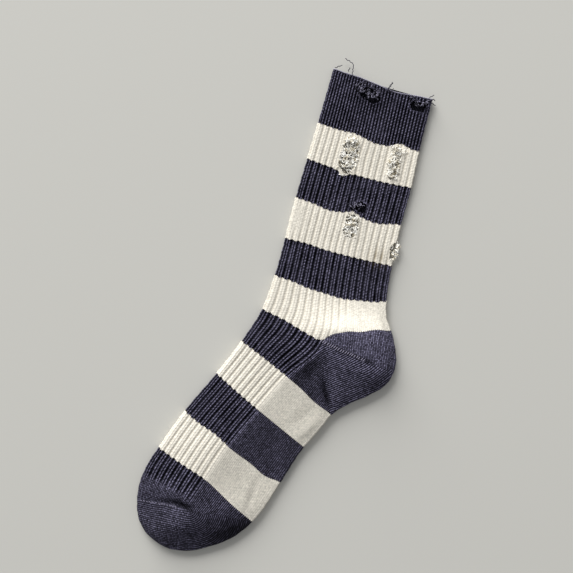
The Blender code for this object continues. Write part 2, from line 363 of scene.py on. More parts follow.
# %% [markdown]
# ## Heights
#
# Two layers of ribbed cotton lie 4.6 mm high. The heel and the toe are knitted as cups, so they never lie
# quite flat: they dome up. The fold at the back is pressed flatter than the one in front. Soft swells and
# troughs add what the solids leave out: the ridge that runs into the heel, the crease inside it, and the
# slow waves of cloth that was dropped and not ironed. A cloth simulation could make such folds, but it
# would choose their places itself. A short list of swells puts each one where it belongs.

# %% Bands and heights
Border = namedtuple("Border", "front rib back kink", defaults=[0.0])
LEG_BORDER = Border(4.6, 4.6, 4.6)
BORDERS = [LEG_BORDER] * 5 + [
    Border(4.8, 5.0, 4.8),
    Border(5.4, 6.6, 6.2, 1.0),
    Border(5.6, 6.6, 5.6),
    Border(5.2, 5.6, 4.8),
    Border(5.0, 5.4, 4.8),
    Border(5.6, 6.2, 5.2),
    Border(5.2, 5.2, 5.2),
]
BAND_COLUMNS = "name yarn rib_depth rows wall dome dome_at wales_per_rib"
Band = namedtuple("Band", BAND_COLUMNS, defaults=[1.7, 0.0, 0.5, 4])
BANDS = [
    Band("cuff_navy", "navy", 1.5, 36, wales_per_rib=2),
    Band("leg_cream_upper", "cream", 0.65, 36),
    Band("leg_navy_upper", "navy", 1.45, 36),
    Band("leg_cream_lower", "cream", 0.65, 36),
    Band("leg_navy_lower", "navy", 1.45, 24),
    Band("ankle_cream", "cream", 0.65, 26),
    Band("heel_navy", "navy", 1.45, 52, wall=1.9, dome=1.7, dome_at=0.68),
    Band("foot_cream_back", "cream", 0.65, 22),
    Band("foot_navy", "navy", 1.45, 22),
    Band("foot_cream_front", "cream", 0.65, 22),
    Band("toe_navy", "navy", 1.45, 48, wall=1.9, dome=2.4, dome_at=0.4),
]
NUMBER = {band.name: i for i, band in enumerate(BANDS)}
HEEL = NUMBER["heel_navy"]
TOE = NUMBER["toe_navy"]

# A swell is a long soft mound, or a trough where its height is negative. Turn is from +X, in degrees.
Swell = namedtuple("Swell", "x y length width turn height")
SWELLS = [
    Swell(60.0, -10.0, 34.0, 17.0, -8.0, 7.0),  # ridge into the heel
    Swell(28.0, -4.0, 20.0, 13.0, 10.0, 3.0),  # the cloth that leads up to it
    Swell(35.5, -48.0, 13.0, 2.2, 115.0, -4.4),  # crease where the heel turns into the sole
    Swell(31.0, -45.0, 14.0, 3.0, 115.0, 1.6),  # its steep side
    Swell(46.0, -48.0, 12.0, 6.0, 110.0, 2.0),  # and its gentle one
    Swell(22.0, -34.0, 12.0, 5.0, 60.0, -1.6),  # the dip beside the last rib
    Swell(66.0, -27.0, 13.0, 11.0, 40.0, 2.6),  # the pocket's lower back
    Swell(-46.0, -162.0, 32.0, 11.0, 28.0, 6.0),  # the toe's cup
    Swell(-46.0, -148.2, 8.5, 1.2, -6.0, -3.0),  # crease along its seam
    Swell(-60.0, -149.0, 9.0, 1.2, 6.0, -1.4),  # and where it runs out
    Swell(-52.0, -142.0, 22.0, 6.0, 8.0, 1.4),  # the instep's end, above the crease
    Swell(-33.0, -100.0, 50.0, 20.0, 60.0, 2.2),  # the foot's long back
    Swell(22.0, 60.0, 90.0, 26.0, 92.0, 0.7),  # the leg's
    Swell(-8.0, 60.0, 40.0, 7.0, 96.0, 0.3),
    Swell(40.0, 90.0, 55.0, 6.0, 88.0, -0.4),
    Swell(5.0, 150.0, 30.0, 8.0, 84.0, 0.35),
    Swell(-20.0, -45.0, 30.0, 6.0, 66.0, 0.35),
    Swell(30.0, -76.0, 13.0, 6.0, 45.0, 1.0),  # wrinkles across and along the sole
    Swell(17.0, -64.0, 9.0, 3.0, 70.0, 0.25),
    Swell(25.0, -66.0, 8.0, 2.2, 52.0, -0.3),
    Swell(-4.4, -127.0, 9.0, 2.6, 84.0, 0.35),
    Swell(0.1, -132.0, 12.0, 2.3, 83.0, -0.45),
    Swell(9.0, -134.0, 12.0, 2.4, 66.0, 0.45),
]
RIM_WIDTH = 7.5  # a swell dies out over this distance from a fold
BACK_FOLD = 0.35  # how far in the back's fold turns, as a share of what a round one would
EDGE_WOBBLE = 0.13  # mm, how unevenly a fold runs
EDGE_REACH = 6.0  # mm from the fold, where that has died out


def swell_sum(swells, x, y):
    total = np.zeros_like(x)
    for swell in swells:
        lean = radians(swell.turn)
        along = (x - swell.x) * cos(lean) + (y - swell.y) * sin(lean)
        across = (y - swell.y) * cos(lean) - (x - swell.x) * sin(lean)
        total += swell.height * np.exp(-((along / swell.length) ** 2) - (across / swell.width) ** 2)
    return total


print("%d bands, %d swells and troughs" % (len(BANDS), len(SWELLS)))

# %% [markdown]
# ## Wales and courses
#
# Knitting has its own grid. A wale is a column of stitches and a course is a row of them. A rib is taken
# as four wales, so 144 wales go round the sock, 72 on each layer, whatever the width. Below, a place on
# the cloth is given by its band, its share of the band's length and its wale, and a class turns that into
# millimetres. An even mesh of squares would give the same form, but a rib would then cut across its
# faces. On this grid the ribs, the stitches and the teeth where yarns meet are all counts of wales.

# %% From wales to millimetres
WALES = 144
FACE_WALES = WALES // 2
RIB_WALE = 34  # the wale on the last rib's line
RIB_SHARE = 0.46  # share of the foot's width, from the front edge, where the last rib lies
LEG_SHARE = RIB_WALE / FACE_WALES  # the same in the leg, where ribs go all the way round
TIP_CLOSING = 0.3  # share of the toe's height that is left at its tip

# A tug shifts the cloth round it, because a ladder lets the courses beside it slip.
Tug = namedtuple("Tug", "x y move_x move_y reach")
TUGS = [
    Tug(38.0, 177.0, 0.0, -1.7, 11.0),  # the cuff's edge
    Tug(10.0, 182.0, 0.0, 0.6, 8.0),
    Tug(14.5, 138.5, 0.0, 1.1, 6.0),  # under the cuff
    Tug(32.0, 136.0, 0.0, -1.8, 7.0),
    Tug(41.5, 136.5, 0.0, -1.1, 4.5),
    Tug(49.5, 137.5, 0.0, 2.6, 6.0),
    Tug(13.5, 109.5, 0.0, -2.8, 4.5),  # under the shin's ladder
    Tug(26.5, 83.5, 0.0, 2.8, 4.5),  # over the middle one
    Tug(45.0, 80.5, 0.0, -2.2, 9.0),
    Tug(9.0, 82.0, 0.0, -1.5, 8.0),
    Tug(-1.0, 54.0, 0.0, 0.8, 9.0),  # the leg's last two borders
    Tug(-5.0, 25.0, 0.0, 0.9, 9.0),
    Tug(38.0, 21.5, 0.0, -0.8, 8.0),
    Tug(30.0, 22.0, 0.0, -0.7, 8.0),
    Tug(54.0, 25.0, 0.0, -1.0, 10.0),
    Tug(51.0, 2.0, 0.0, 1.6, 15.0),  # the ankle over the heel
    Tug(31.0, -8.0, 0.0, 2.0, 5.0),
    Tug(40.0, -5.5, 0.0, 3.3, 9.0),
    Tug(60.0, 3.0, 0.0, 1.3, 8.0),
    Tug(-3.0, 1.0, 0.0, 0.9, 10.0),
    Tug(29.0, -55.0, -0.5, -0.9, 9.0),  # the foot's borders
    Tug(-36.0, -95.0, 0.85, 1.6, 11.0),
    Tug(6.0, -113.5, -0.9, -1.7, 9.0),
    Tug(-36.0, -129.0, 0.95, 1.75, 18.0),
    Tug(22.0, 124.0, -0.9, 0.0, 8.0),  # and aside, where ladders let ribs spread
    Tug(36.0, 78.0, -0.9, 0.0, 8.0),
]


def through_three(u, front, rib, back):
    """The value at u of the parabola that is front at 0, rib at RIB_SHARE and back at 1."""
    k = RIB_SHARE
    at_front = (u - k) * (u - 1) / k
    at_rib = u * (1 - u) / (k * (1 - k))
    at_back = u * (u - k) / (1 - k)
    return at_front * front + at_rib * rib + at_back * back


def ease(value):
    """A soft step from 0 to 1."""
    value = np.clip(value, 0, 1)
    return value * value * (3 - 2 * value)


class Cloth:
    """Places on one band, given as arrays of one shape: shares of its length, and wales."""

    def __init__(self, band, share, wale):
        self.front, self.rib, self.back = (line.at(band, share) for line in (FRONT, RIB, BACK))
        self.width = np.hypot(*np.moveaxis(self.back - self.front, -1, 0))
        *self.heights, self.kink = (a + share * (b - a) for a, b in zip(BORDERS[band], BORDERS[band + 1]))
        self.dome = BANDS[band].dome * np.sin(pi * np.clip(share, 0, 1))
        self.dome_power = np.log(0.5) / np.log(BANDS[band].dome_at)
        self.side = np.where(wale <= FACE_WALES, 1.0, -1.0)
        self.wale = np.where(wale <= FACE_WALES, wale, WALES - wale)
        if band == HEEL - 1:
            self.rib_share = LEG_SHARE + (RIB_SHARE - LEG_SHARE) * share
        else:
            self.rib_share = np.full_like(share, LEG_SHARE if band < HEEL else RIB_SHARE)
        self.closing = self.toe_closing() if band == TOE else np.ones_like(share)

    def toe_closing(self):
        """The share of the height that is left near the tip, where the layers meet in a round."""
        tip = RIB.at(TOE, 1.0)
        radius = self.height_at(RIB_SHARE) / 2
        to_tip = np.hypot(self.rib[..., 0] - tip[0], self.rib[..., 1] - tip[1])
        inside = np.clip(1 - to_tip / radius, 0, 1)
        return np.maximum(TIP_CLOSING, np.sqrt(1 - inside**2))

    def height_at(self, u):
        u = np.clip(u, 0, 1)
        return through_three(u, *self.heights) + self.dome * np.sin(pi * u**self.dome_power)

    def plan(self, u):
        """The place on the table at share u of the way from the front edge to the back edge."""
        u = u[..., None]
        bowed = through_three(u, self.front, self.rib, self.back)
        to_rib = self.front + (self.rib - self.front) * u / RIB_SHARE
        from_rib = self.rib + (self.back - self.rib) * (u - RIB_SHARE) / (1 - RIB_SHARE)
        bent = np.where(u < RIB_SHARE, to_rib, from_rib)
        return bowed + self.kink[..., None] * (bent - bowed)

    def fold(self, inset):
        """How far a place is from its fold, seen from above and laid flat, and how far it has turned."""
        in_front = self.wale <= RIB_WALE
        radius = np.where(in_front, self.height_at(0.0), self.height_at(1.0)) / 2
        share = np.where(in_front, self.rib_share, 1 - self.rib_share)
        wales = np.where(in_front, RIB_WALE, FACE_WALES - RIB_WALE)
        from_fold = np.where(in_front, self.wale, FACE_WALES - self.wale) / wales
        depth = radius * np.where(in_front, 1.0, BACK_FOLD)
        quarter = pi / 2 * radius
        run = from_fold * (quarter + share * self.width - depth)
        turn = np.minimum(run / radius, pi / 2)
        flat = run - quarter + depth
        return np.where(run < quarter, depth - (depth - inset) * np.cos(turn), flat), flat, turn

    def width_share(self, reach):
        return np.where(self.wale <= RIB_WALE, reach, self.width - reach) / self.width

    def opened_out(self):
        """How far outwards places would move if the turned-down edges were opened out flat."""
        reach, flat, _ = self.fold(0.0)
        aside = self.plan(self.width_share(flat)) - self.plan(self.width_share(reach))
        forward = unit(RIB.at(TOE, 1.0) - RIB.at(TOE, 0.9))
        turn = np.arcsin(self.closing)
        ahead = (pi / 2 - turn - np.cos(turn)) * self.height_at(RIB_SHARE) / 2
        return np.moveaxis(aside + ahead[..., None] * forward, -1, 0)

    def places(self, inset):
        """Points in metres, inset millimetres inside the cloth's outer face."""
        reach, _, turn = self.fold(inset)
        u = self.width_share(reach)
        place = self.plan(u)
        x, y = place[..., 0], place[..., 1]
        inland = ease(np.minimum(reach, self.width - reach) / RIM_WIDTH) * (self.side > 0)
        middle = self.height_at(u) / 2
        z = middle + self.side * (middle * self.closing - inset) * np.sin(turn)
        z = z + swell_sum(SWELLS, x, y) * inland * self.closing
        at_fold = 1 - ease(np.minimum(reach, self.width - reach) / EDGE_REACH)
        x = x + EDGE_WOBBLE * (np.sin(0.8 * y) + 0.6 * np.sin(1.9 * y + 2)) * at_fold
        for tug in TUGS:
            near = np.exp(-((x - tug.x) ** 2 + (y - tug.y) ** 2) / tug.reach**2) * inland
            x, y = x + tug.move_x * near, y + tug.move_y * near
        return np.stack([x, y, z], axis=-1) * MM


sample = Cloth(0, np.array([0.5]), np.array([36.0])).places(0.0)[0]
print("middle of the cuff: x %.1f, y %.1f, z %.1f mm" % tuple(sample / MM))

# %% [markdown]
# ## Wear
#
# Each hole is a place where the yarn that held the ribs together has broken. A material could hide the
# cloth there with transparency, but then the edge would have no thickness and nothing would lie in the
# hole's shade. So the mesh itself is opened, and in three of the holes the crinkled yarn of each course
# still crosses the opening, which is what a ladder is. Near a hole, and on the patch at the front fold
# that has been rubbed, the ribs lose their shape. Painted shade darkens the creases and the toe's side
# that turns away from the lamp.

# %% Holes, rubbed places, stains and painted shade
Hole = namedtuple("Hole", "name band x y width length lean")
HOLES = [
    Hole("cuff_middle", "cuff_navy", 20.5, 168.5, 15.0, 9.0, 14.0),
    Hole("cuff_back", "cuff_navy", 55.5, 168.0, 11.0, 7.0, 8.0),
    Hole("shin", "leg_cream_upper", 14.8, 122.8, 12.0, 25.0, 2.0),
    Hole("calf", "leg_cream_upper", 48.3, 122.8, 6.0, 20.0, 3.0),
    Hole("middle_navy", "leg_navy_upper", 31.0, 88.3, 8.5, 7.5, 0.0),
    Hole("middle_cream", "leg_cream_lower", 27.3, 73.8, 10.0, 17.0, 0.0),
    Hole("back_fold", "leg_cream_lower", 62.5, 62.5, 8.0, 13.0, 0.0),
]
HOLE_SQUARENESS = 3.0  # 2 is an oval, and more is closer to a rectangle
HOLE_RAGGED = 0.06
WORN_WIDTH = 2.2  # mm round a hole where the ribs fade

Patch = namedtuple("Patch", "x y width length strength")
# Painted shade: the crease where the heel turns into the sole, the dip beside the last rib, the crease along
# the toe's seam, and the toe's side that turns away from the lamp.
CREASE_SHADE = [
    Swell(36.5, -50.0, 12.0, 2.0, 115.0, 0.65),
    Swell(19.0, -36.0, 16.0, 6.0, 60.0, 0.3),
    Swell(-44.5, -148.8, 8.0, 0.9, -10.0, 0.85),
    Swell(-8.0, -160.0, 24.0, 7.0, 33.0, 0.6),
]
RUBBED = Patch(-12.0, 71.0, 6.5, 15.0, 0.95)
STAIN = Patch(51.5, 56.5, 6.5, 5.5, 0.9)


def hole_reach(hole, x, y):
    """How far out a place is, as a share of the hole's edge: under 1 is inside."""
    lean = radians(hole.lean)
    across = ((x - hole.x) * cos(lean) - (y - hole.y) * sin(lean)) / (hole.width / 2)
    along = ((x - hole.x) * sin(lean) + (y - hole.y) * cos(lean)) / (hole.length / 2)
    power = HOLE_SQUARENESS
    reach = (np.abs(across) ** power + np.abs(along) ** power) ** (1 / power)
    ragged = 1 + HOLE_RAGGED * np.sin(5 * np.arctan2(along, across) + hole.x)
    return reach / ragged


def nearness(patch, x, y):
    return patch.strength * np.exp(
        -(((x - patch.x) / patch.width) ** 2) - ((y - patch.y) / patch.length) ** 2
    )


print("%d holes, %.0f square mm in all" % (len(HOLES), sum(hole.width * hole.length for hole in HOLES)))

# %% [markdown]
# Ribs are made by knitting some wales from the other side of the cloth, so that they sink. The leg's ribs
# are two wales wide, with two sunken wales crowded into the groove between them, and the cuff's are one
# and one. Ribbing ends behind the last rib in the foot, fades out where the ankle widens for the heel,
# and stops above the toe's seam. One number at each point says how strongly it is ribbed, from 0 to 1.
# The shape and the colour both read it later, so they can't disagree.

# %% How strongly each place is ribbed
LAST_RIBBED = 36  # the last ribbed wale of the instep
ANKLE_LAST = 45  # the last fully ribbed wale at the ankle's upper border
ANKLE_LOST = 9  # fewer of them at its lower border
ANKLE_FADE = 8  # wales
ANKLE_RIBBING = 0.13  # what is left behind them
WORN_RIBBING = 0.25  # what is left at a hole's edge
TOE_RIBS_END = [(-80, -137), (-62, -140.5), (-48, -144.5), (-43, -147.5), (-30, -150)]
TOE_RIBS_FADE = 6.0


def ribbing_of(band, share, wale, x, y):
    on_top = wale <= FACE_WALES
    wale = np.minimum(wale, WALES - wale)
    if band < HEEL - 1:
        ribbing = np.ones_like(x)
    elif band == HEEL - 1:
        ribbing = 1 - (1 - ANKLE_RIBBING) * ease((wale - ANKLE_LAST + ANKLE_LOST * share) / ANKLE_FADE)
    else:
        ribbing = 1 - ease(wale - LAST_RIBBED - 0.1)
    if band == TOE:
        ribbing = ribbing * ease((y - np.interp(x, *zip(*TOE_RIBS_END))) / TOE_RIBS_FADE)
    for hole in HOLES:
        if hole.band == BANDS[band].name:
            outside = (hole_reach(hole, x, y) - 1) * hole.width / 2
            worn = WORN_RIBBING + (1 - WORN_RIBBING) * ease(outside / WORN_WIDTH)
            ribbing = ribbing * np.where(on_top, worn, 1)
    return ribbing * (1 - nearness(RUBBED, x, y) * (band == NUMBER["leg_cream_lower"]))

# %% [markdown]
# ## Knit cloth
#
# Where two yarns meet, the stitches of one hook into the other, so the border is a row of small teeth and
# not a clean line. A picture could draw them, but it would blur up close. Here the grid of points itself
# is drawn out into a tooth at each wale's end, and the whole border steps up and down with the ribs.

# %% Grids of stitches
COLUMNS = 3  # for each wale
COURSE = 1.15
GROOVE_SHARE = {"navy": 0.17, "cream": 0.14}  # half of a rib's width that its sunken wales take
TOOTH = 0.42
TOOTH_REACH = 1.6
SCALLOP = 0.4  # how far a rib's crest is drawn up at a border, and its groove down
TOE_ROW_POWER = 1.35  # crowds the toe's rows towards its tip
TOE_INSIDE_ROWS = 42  # the inner face of the toe stops short of its tip
RIM_ROUND = 0.7  # mm, the rounding of the cuff's edge


def length_across(band, wale):
    """The length of the band along each wale, in millimetres."""
    spans = [line.span(band) for line in (FRONT, RIB, BACK)]
    return np.interp(np.minimum(wale, WALES - wale), (0, RIB_WALE, FACE_WALES), spans)


def stitch_grid(band):
    share = np.linspace(0, 1, BANDS[band].rows + 1)
    if band == TOE:
        share = 1 - (1 - share) ** TOE_ROW_POWER
    wale = np.arange(WALES * COLUMNS) / COLUMNS
    share, wale = np.meshgrid(share, wale, indexing="ij")
    length = length_across(band, wale)
    toothed = np.zeros_like(share)
    if band > 0:
        toothed += np.exp(-share * length / TOOTH_REACH)
    if band < TOE:
        toothed += np.exp(-(1 - share) * length / TOOTH_REACH)
    flat_wale = np.minimum(wale, WALES - wale)
    ribbed = flat_wale < LAST_RIBBED if band >= HEEL else np.ones_like(share)
    if band == HEEL - 1:
        ribbed = 1 - ease((flat_wale - LAST_RIBBED) / 4) * share
    tooth = TOOTH * (1 - 4 * np.abs(wale % 1 - 0.5)) + SCALLOP * ribbed * np.cos(pi / 2 * wale)
    return share + tooth / length * toothed, wale


print("%.2f mm between columns of the grid" % (75 / FACE_WALES / COLUMNS))

# %% [markdown]
# The heel and the toe are knitted to and fro on half of the needles, so their wales don't follow the
# tube. Above the heel's diagonal seam they come down from the ankle, and below it they bend round from
# the sole to the back of the heel. In the toe they follow its seam, and curve round the seam's end. Such
# a turn can't be had from the tube's own grid, so wales and courses are counted here from a place on the
# laid cloth.

# %% Stitch coordinates
GORE = [(22.5, -11.5), (38.0, -15.0), (53.0, -17.5), (63.0, -19.5), (80.6, -21.5)]  # the heel's seam
TOE_SEAM = [(-82, -152.5), (-72, -151.3), (-60, -150.2), (-50, -149.8), (-41, -149.6), (5, -150)]
TOE_PIVOT = TOE_SEAM[4]
TOE_WALE = 1.4
TOE_TURN = 14  # courses for each radian round the pivot
TOE_TAUT = 10.0  # mm past the pivot, over which the toe draws taut
PLAIN_COURSE = 1.2

# Wales in a pocket run straight, at an angle and this far apart. Below the heel's seam they bend twice,
# because the sole, the pocket's side and its back each have a run of their own.
Run = namedtuple("Run", "x y turn wale start")
ABOVE_GORE = Run(45.0, -5.0, 108.0, 1.2, 0.0)
SOLE_RUN = Run(34.1, -45.0, 64.6, 1.15, 0.0)
SIDE_RUN = Run(34.1, -45.0, 34.6, 1.45, 0.0)
BACK_RUN = Run(59.8, -24.1, 54.6, 1.6, 1.8)
BEND_WIDTH = 0.5  # in wales, of the bend at the heel's crease
BEND_GROWTH = 0.12  # wider by this for each millimetre above it
BACK_BEND = 2.0  # the same, where the side turns into the back
SLANT_COURSE = 1.4 * PLAIN_COURSE  # between courses that run aslant


def on_run(run, x, y):
    """Wales across a run, and courses along it."""
    lean = radians(run.turn)
    along = (x - run.x) * cos(lean) + (y - run.y) * sin(lean)
    aside = (y - run.y) * cos(lean) - (x - run.x) * sin(lean)
    return run.start + aside / run.wale, along / PLAIN_COURSE


def soft_maximum(first, second, width):
    return (first + second + np.sqrt((first - second) ** 2 + width**2)) / 2


def wander(x, y):
    """No wale runs quite true: how far it strays, in wales."""
    return 0.1 * np.sin(x / 3.1 + y / 4.3) + 0.07 * np.sin(x / 2.1 - y / 3.7 + 1)


def lower_heel(x, y):
    sole, side, back = (on_run(run, x, y)[0] for run in (SOLE_RUN, SIDE_RUN, BACK_RUN))
    width = BEND_WIDTH + BEND_GROWTH * np.maximum(y + 50, 0)
    return -soft_maximum(-soft_maximum(sole, side, width), -back, BACK_BEND), (x + y) / SLANT_COURSE


def toe_pocket(x, y):
    """Wales follow the seam at a distance, and turn round its end."""
    right, down = x - TOE_PIVOT[0], np.interp(x, *zip(*TOE_SEAM)) - y
    turned = np.arctan2(np.maximum(right, 0), down)
    distance = np.where(right > 0, np.hypot(right, y - TOE_PIVOT[1]), down)
    along = np.where(right > 0, turned * TOE_TURN, right / PLAIN_COURSE)
    return distance / TOE_WALE, along


def beyond(line, x, y):
    """True where a place is below a line that runs from left to right."""
    return y < np.interp(x, *zip(*line))


def crowded(wale, ribbing, band):
    """Wales counted as they show: the sunken ones are crowded into the groove, where it is deep."""
    per_rib, share = band.wales_per_rib, GROOVE_SHARE[band.yarn]
    rib, phase = np.divmod(wale / per_rib, 1)
    shown = np.interp(phase, (0, 0.5 - share, 0.5 + share, 1), (0, 0.25, 0.75, 1))
    return per_rib * (rib + phase + (shown - phase) * ribbing) + 0.5 * (per_rib == 2)


def beading_of(band, ribbing, x, y):
    """1 where the cloth is slack and each stitch shows as a bead, 0 where it is ribbed or drawn taut."""
    if band == HEEL:
        taut = beyond(GORE, x, y)
    elif band == TOE:
        taut = ease((x - TOE_PIVOT[0] + 4) / TOE_TAUT)
    else:
        taut = 0.0
    return (1 - ribbing) * (1 - taut)


def stitch_counts(band, wale, course, x, y):
    """Wales across and courses along, at the corners of faces."""
    if band not in (HEEL, TOE):
        return wale, course
    middle = [np.repeat(value.mean(axis=1)[:, None], 4, axis=1) for value in (x, y)]
    if band == HEEL:
        below = beyond(GORE, *middle)
        pocket = [np.where(below, low, high) for low, high in zip(lower_heel(x, y), on_run(ABOVE_GORE, x, y))]
        plain = np.minimum(wale, WALES - wale).mean(axis=1)[:, None] > LAST_RIBBED
    else:
        pocket = toe_pocket(x, y)
        plain = beyond(TOE_SEAM, *middle)
    return np.where(plain, pocket[0] + wander(x, y), wale), np.where(plain, pocket[1], course)


print("heel's seam: %.0f mm long" % sum(np.hypot(*np.diff(GORE, axis=0).T)))

# %% [markdown]
# The toe, the sole and the seam of the heel are the darkest. This is partly dirt, because they rub on the
# ground and in the shoe, and partly painted shade where the cloth turns away from the lamp. Dirt and shade
# could be painted by hand on a picture. A few soft rules do the same with one number at each point, and the
# material mixes a dark tone in by that number.

# %% Dirt and painted shade
SOLE_EDGE = 3  # wales over which the sole's dirt and painted shade begin
# darkens the whole toe, with dirt and painted shade
TOE_DIRT_AND_SHADE = 0.9
HEEL_DIRT_AND_SHADE = 0.15  # the heel's dirt and painted shade, above its seam
LOWER_SHADE, LOWER_REACH = 0.5, 16.0  # painted shade below the seam, at this distance in mm
FRONT_SHADE, FRONT_FROM = 0.3, 34.0  # and more painted shade towards the sole, from this x
SEAM_DARKENING, SEAM_WIDTH, SEAM_TO = 1.4, 1.6, 68.0  # darker along the seam, up to this x
SEAM_ABOVE = 0.4  # mm that its middle is above the line
DARKENING_FADE = 8.0  # mm


def dirt_and_shade_of(band, wale, ribbing, x, y):
    """How dark each place is made, by dirt and painted shade: most in the toe, on the sole and along the
    heel's seam.
    """
    if band == TOE:
        return TOE_DIRT_AND_SHADE * (1 - ribbing)
    dirt = ease((np.minimum(wale, WALES - wale) - LAST_RIBBED) / SOLE_EDGE) * (band >= HEEL)
    if band == HEEL:
        above = y - np.interp(x, *zip(*GORE))
        front = FRONT_SHADE * ease((FRONT_FROM - x) / DARKENING_FADE) * (above < 0)
        dirt = dirt * (HEEL_DIRT_AND_SHADE + LOWER_SHADE * ease(-above / LOWER_REACH) + front)
        from_seam = (above - SEAM_ABOVE) / SEAM_WIDTH
        seam = SEAM_DARKENING * np.exp(-(from_seam**2)) * ease((SEAM_TO - x) / DARKENING_FADE)
        dirt = np.maximum(dirt, seam * (dirt > 0.1))
    return dirt


print("dirt on the toe: %.0f percent" % (TOE_DIRT_AND_SHADE * 100))

# %% [markdown]
# Knitted cloth has a thickness, which shows at the cuff's mouth and round every hole. A Solidify modifier
# could give it, but it wouldn't round the cuff's edge or stop short of the toe's tip. So each band is one
# closed shell, made face by face: an outer face and an inner face on the same grid, joined round its two
# ends and round its holes.

# %% Faces
def sheet_faces(start, rows, columns, outwards):
    """The corners of the faces of a grid of points that closes round on itself."""
    row, column = np.meshgrid(np.arange(rows - 1), np.arange(columns), indexing="ij")
    beside = (column + 1) % columns
    above, below = row * columns, (row + 1) * columns
    corners = [above + column, below + column, below + beside, above + beside]
    if not outwards:
        corners.reverse()
    return start + np.stack(corners, axis=-1)


def rim_faces(outer, inner):
    beside = np.roll(outer, -1), np.roll(inner, -1)
    return np.stack([outer, beside[0], beside[1], inner], axis=-1)


def tip_faces(ring):
    """Close the toe's last ring by joining the upper layer to the lower one."""
    half = len(ring) // 2
    faces = []
    for i in range(half):
        corners = [ring[i], ring[i + 1], ring[-i - 1], ring[-i]]
        faces.append(list(dict.fromkeys(corners)))
    return faces


def wall_faces(opened, columns, inner_start):
    """The cut edge of the cloth round each hole."""
    faces = []
    for row, column in zip(*np.nonzero(opened)):
        beside = (column + 1) % columns
        a, b = row * columns + column, row * columns + beside
        c, d = a + columns, b + columns
        sides = ((row - 1, column, a, b), (row + 1, column, d, c))
        sides += ((row, column - 1, c, a), (row, beside, b, d))
        for near_row, near_column, first, last in sides:
            if not opened[near_row, near_column]:
                faces.append([first, last, last + inner_start, first + inner_start])
    return faces


print("ring of 12 points closed by %d faces" % len(tip_faces(list(range(12)))))

# %% Openings
def opened_cells(band, wale, x, y):
    """Which faces of the outer grid fall inside a hole."""
    pairs = [value[:-1] + value[1:] for value in (x, y)]
    middle_x, middle_y = ((value + np.roll(value, -1, axis=1)) / 4 for value in pairs)
    opened = np.zeros(middle_x.shape, bool)
    for hole in HOLES:
        if hole.band == BANDS[band].name:
            opened |= hole_reach(hole, middle_x, middle_y) < 1
    opened &= wale[:-1] < FACE_WALES + 1
    opened[[0, -1]] = False
    return opened


def shell_faces(band, opened, inside_rows):
    """The outer faces, the inner ones, the toe's tip, and those that join the two sides of the cloth."""
    rows, columns = len(opened) + 1, opened.shape[1]
    inner_start = rows * columns
    outer = sheet_faces(0, rows, columns, True)[~opened]
    inner = sheet_faces(inner_start, inside_rows, columns, False)[~opened[: inside_rows - 1]]
    around = np.arange(columns)
    last_outer = (rows - 1) * columns + around
    last_inner = inner_start + (inside_rows - 1) * columns + around
    joins = rim_faces(around, inner_start + around).tolist()
    if band == TOE:
        tip = tip_faces(last_outer.tolist())
        joins += tip_faces(last_inner.tolist())
    else:
        tip = []
        joins += rim_faces(last_inner, last_outer).tolist()
    return outer, inner, tip, joins + wall_faces(opened, columns, inner_start)


whole = shell_faces(0, np.zeros((BANDS[0].rows, WALES * COLUMNS), bool), BANDS[0].rows + 1)
print("cuff without its holes: %d faces" % sum(map(len, whole)))

# %% [markdown]
# A UV map usually says where a picture lies on a mesh. This one counts: U is the number of wales round
# the sock and V the number of courses down it, so the material can draw one stitch and have it repeat.
# Each face takes its four corners' counts together, because a wale starts again at the seam of the tube.

# %% The map of stitches
Grid = namedtuple("Grid", "wale course ribbing x y")  # x and y as they lie with the folds opened out


def stitch_map(band, grid, outer_faces, inner_faces, tip):
    """Wales and courses at each corner of the outer faces, the inner faces and the toe's tip."""
    first_wale = np.repeat(grid.wale.ravel()[outer_faces][:, :1], 4, axis=1)
    ribbing = grid.ribbing.ravel()[outer_faces]
    left = crowded(first_wale[:, :2], ribbing[:, :2], BANDS[band])
    right = crowded(first_wale[:, 2:] + 1 / COLUMNS - 1e-6, ribbing[:, 2:], BANDS[band])
    corner = [value.ravel()[outer_faces] for value in (grid.course, grid.x, grid.y)]
    outer = stitch_counts(band, np.concatenate([left, right], axis=1), *corner)
    inside = inner_faces - grid.wale.size
    inner = np.repeat(grid.wale.ravel()[inside][:, :1], 4, axis=1), grid.course.ravel()[inside]
    tip_corners = [corner for face in tip for corner in face]
    ends = [value.ravel()[tip_corners] for value in toe_pocket(grid.x, grid.y)]
    return np.concatenate([np.stack(part, axis=-1).reshape(-1, 2) for part in (outer, inner, ends)])


print("cuff: %.0f courses of stitches" % (RIB.span(0) / COURSE))

# %% Band shells
SHARP_EDGE = radians(60)


def keep_values(mesh, kept, outward, inner_count):
    """Store numbers and outward directions at the outer points. Inner points are only marked as inside."""
    for name, values in kept.items():
        within = np.full(inner_count, float(name == "inside"))
        data = mesh.attributes.new(name, "FLOAT", "POINT").data
        data.foreach_set("value", np.append(values.ravel(), within))
    outward = outward / np.linalg.norm(outward, axis=-1, keepdims=True)
    data = mesh.attributes.new("outward", "FLOAT_VECTOR", "POINT").data
    data.foreach_set("vector", np.append(outward.ravel(), np.zeros(3 * inner_count)))


def finish_shell(mesh):
    bm = bmesh.new()
    bm.from_mesh(mesh)
    bmesh.ops.recalc_face_normals(bm, faces=bm.faces)
    bm.to_mesh(mesh)
    bm.free()
    mesh.shade_smooth()
    mesh.set_sharp_from_angle(angle=SHARP_EDGE)
    return mesh


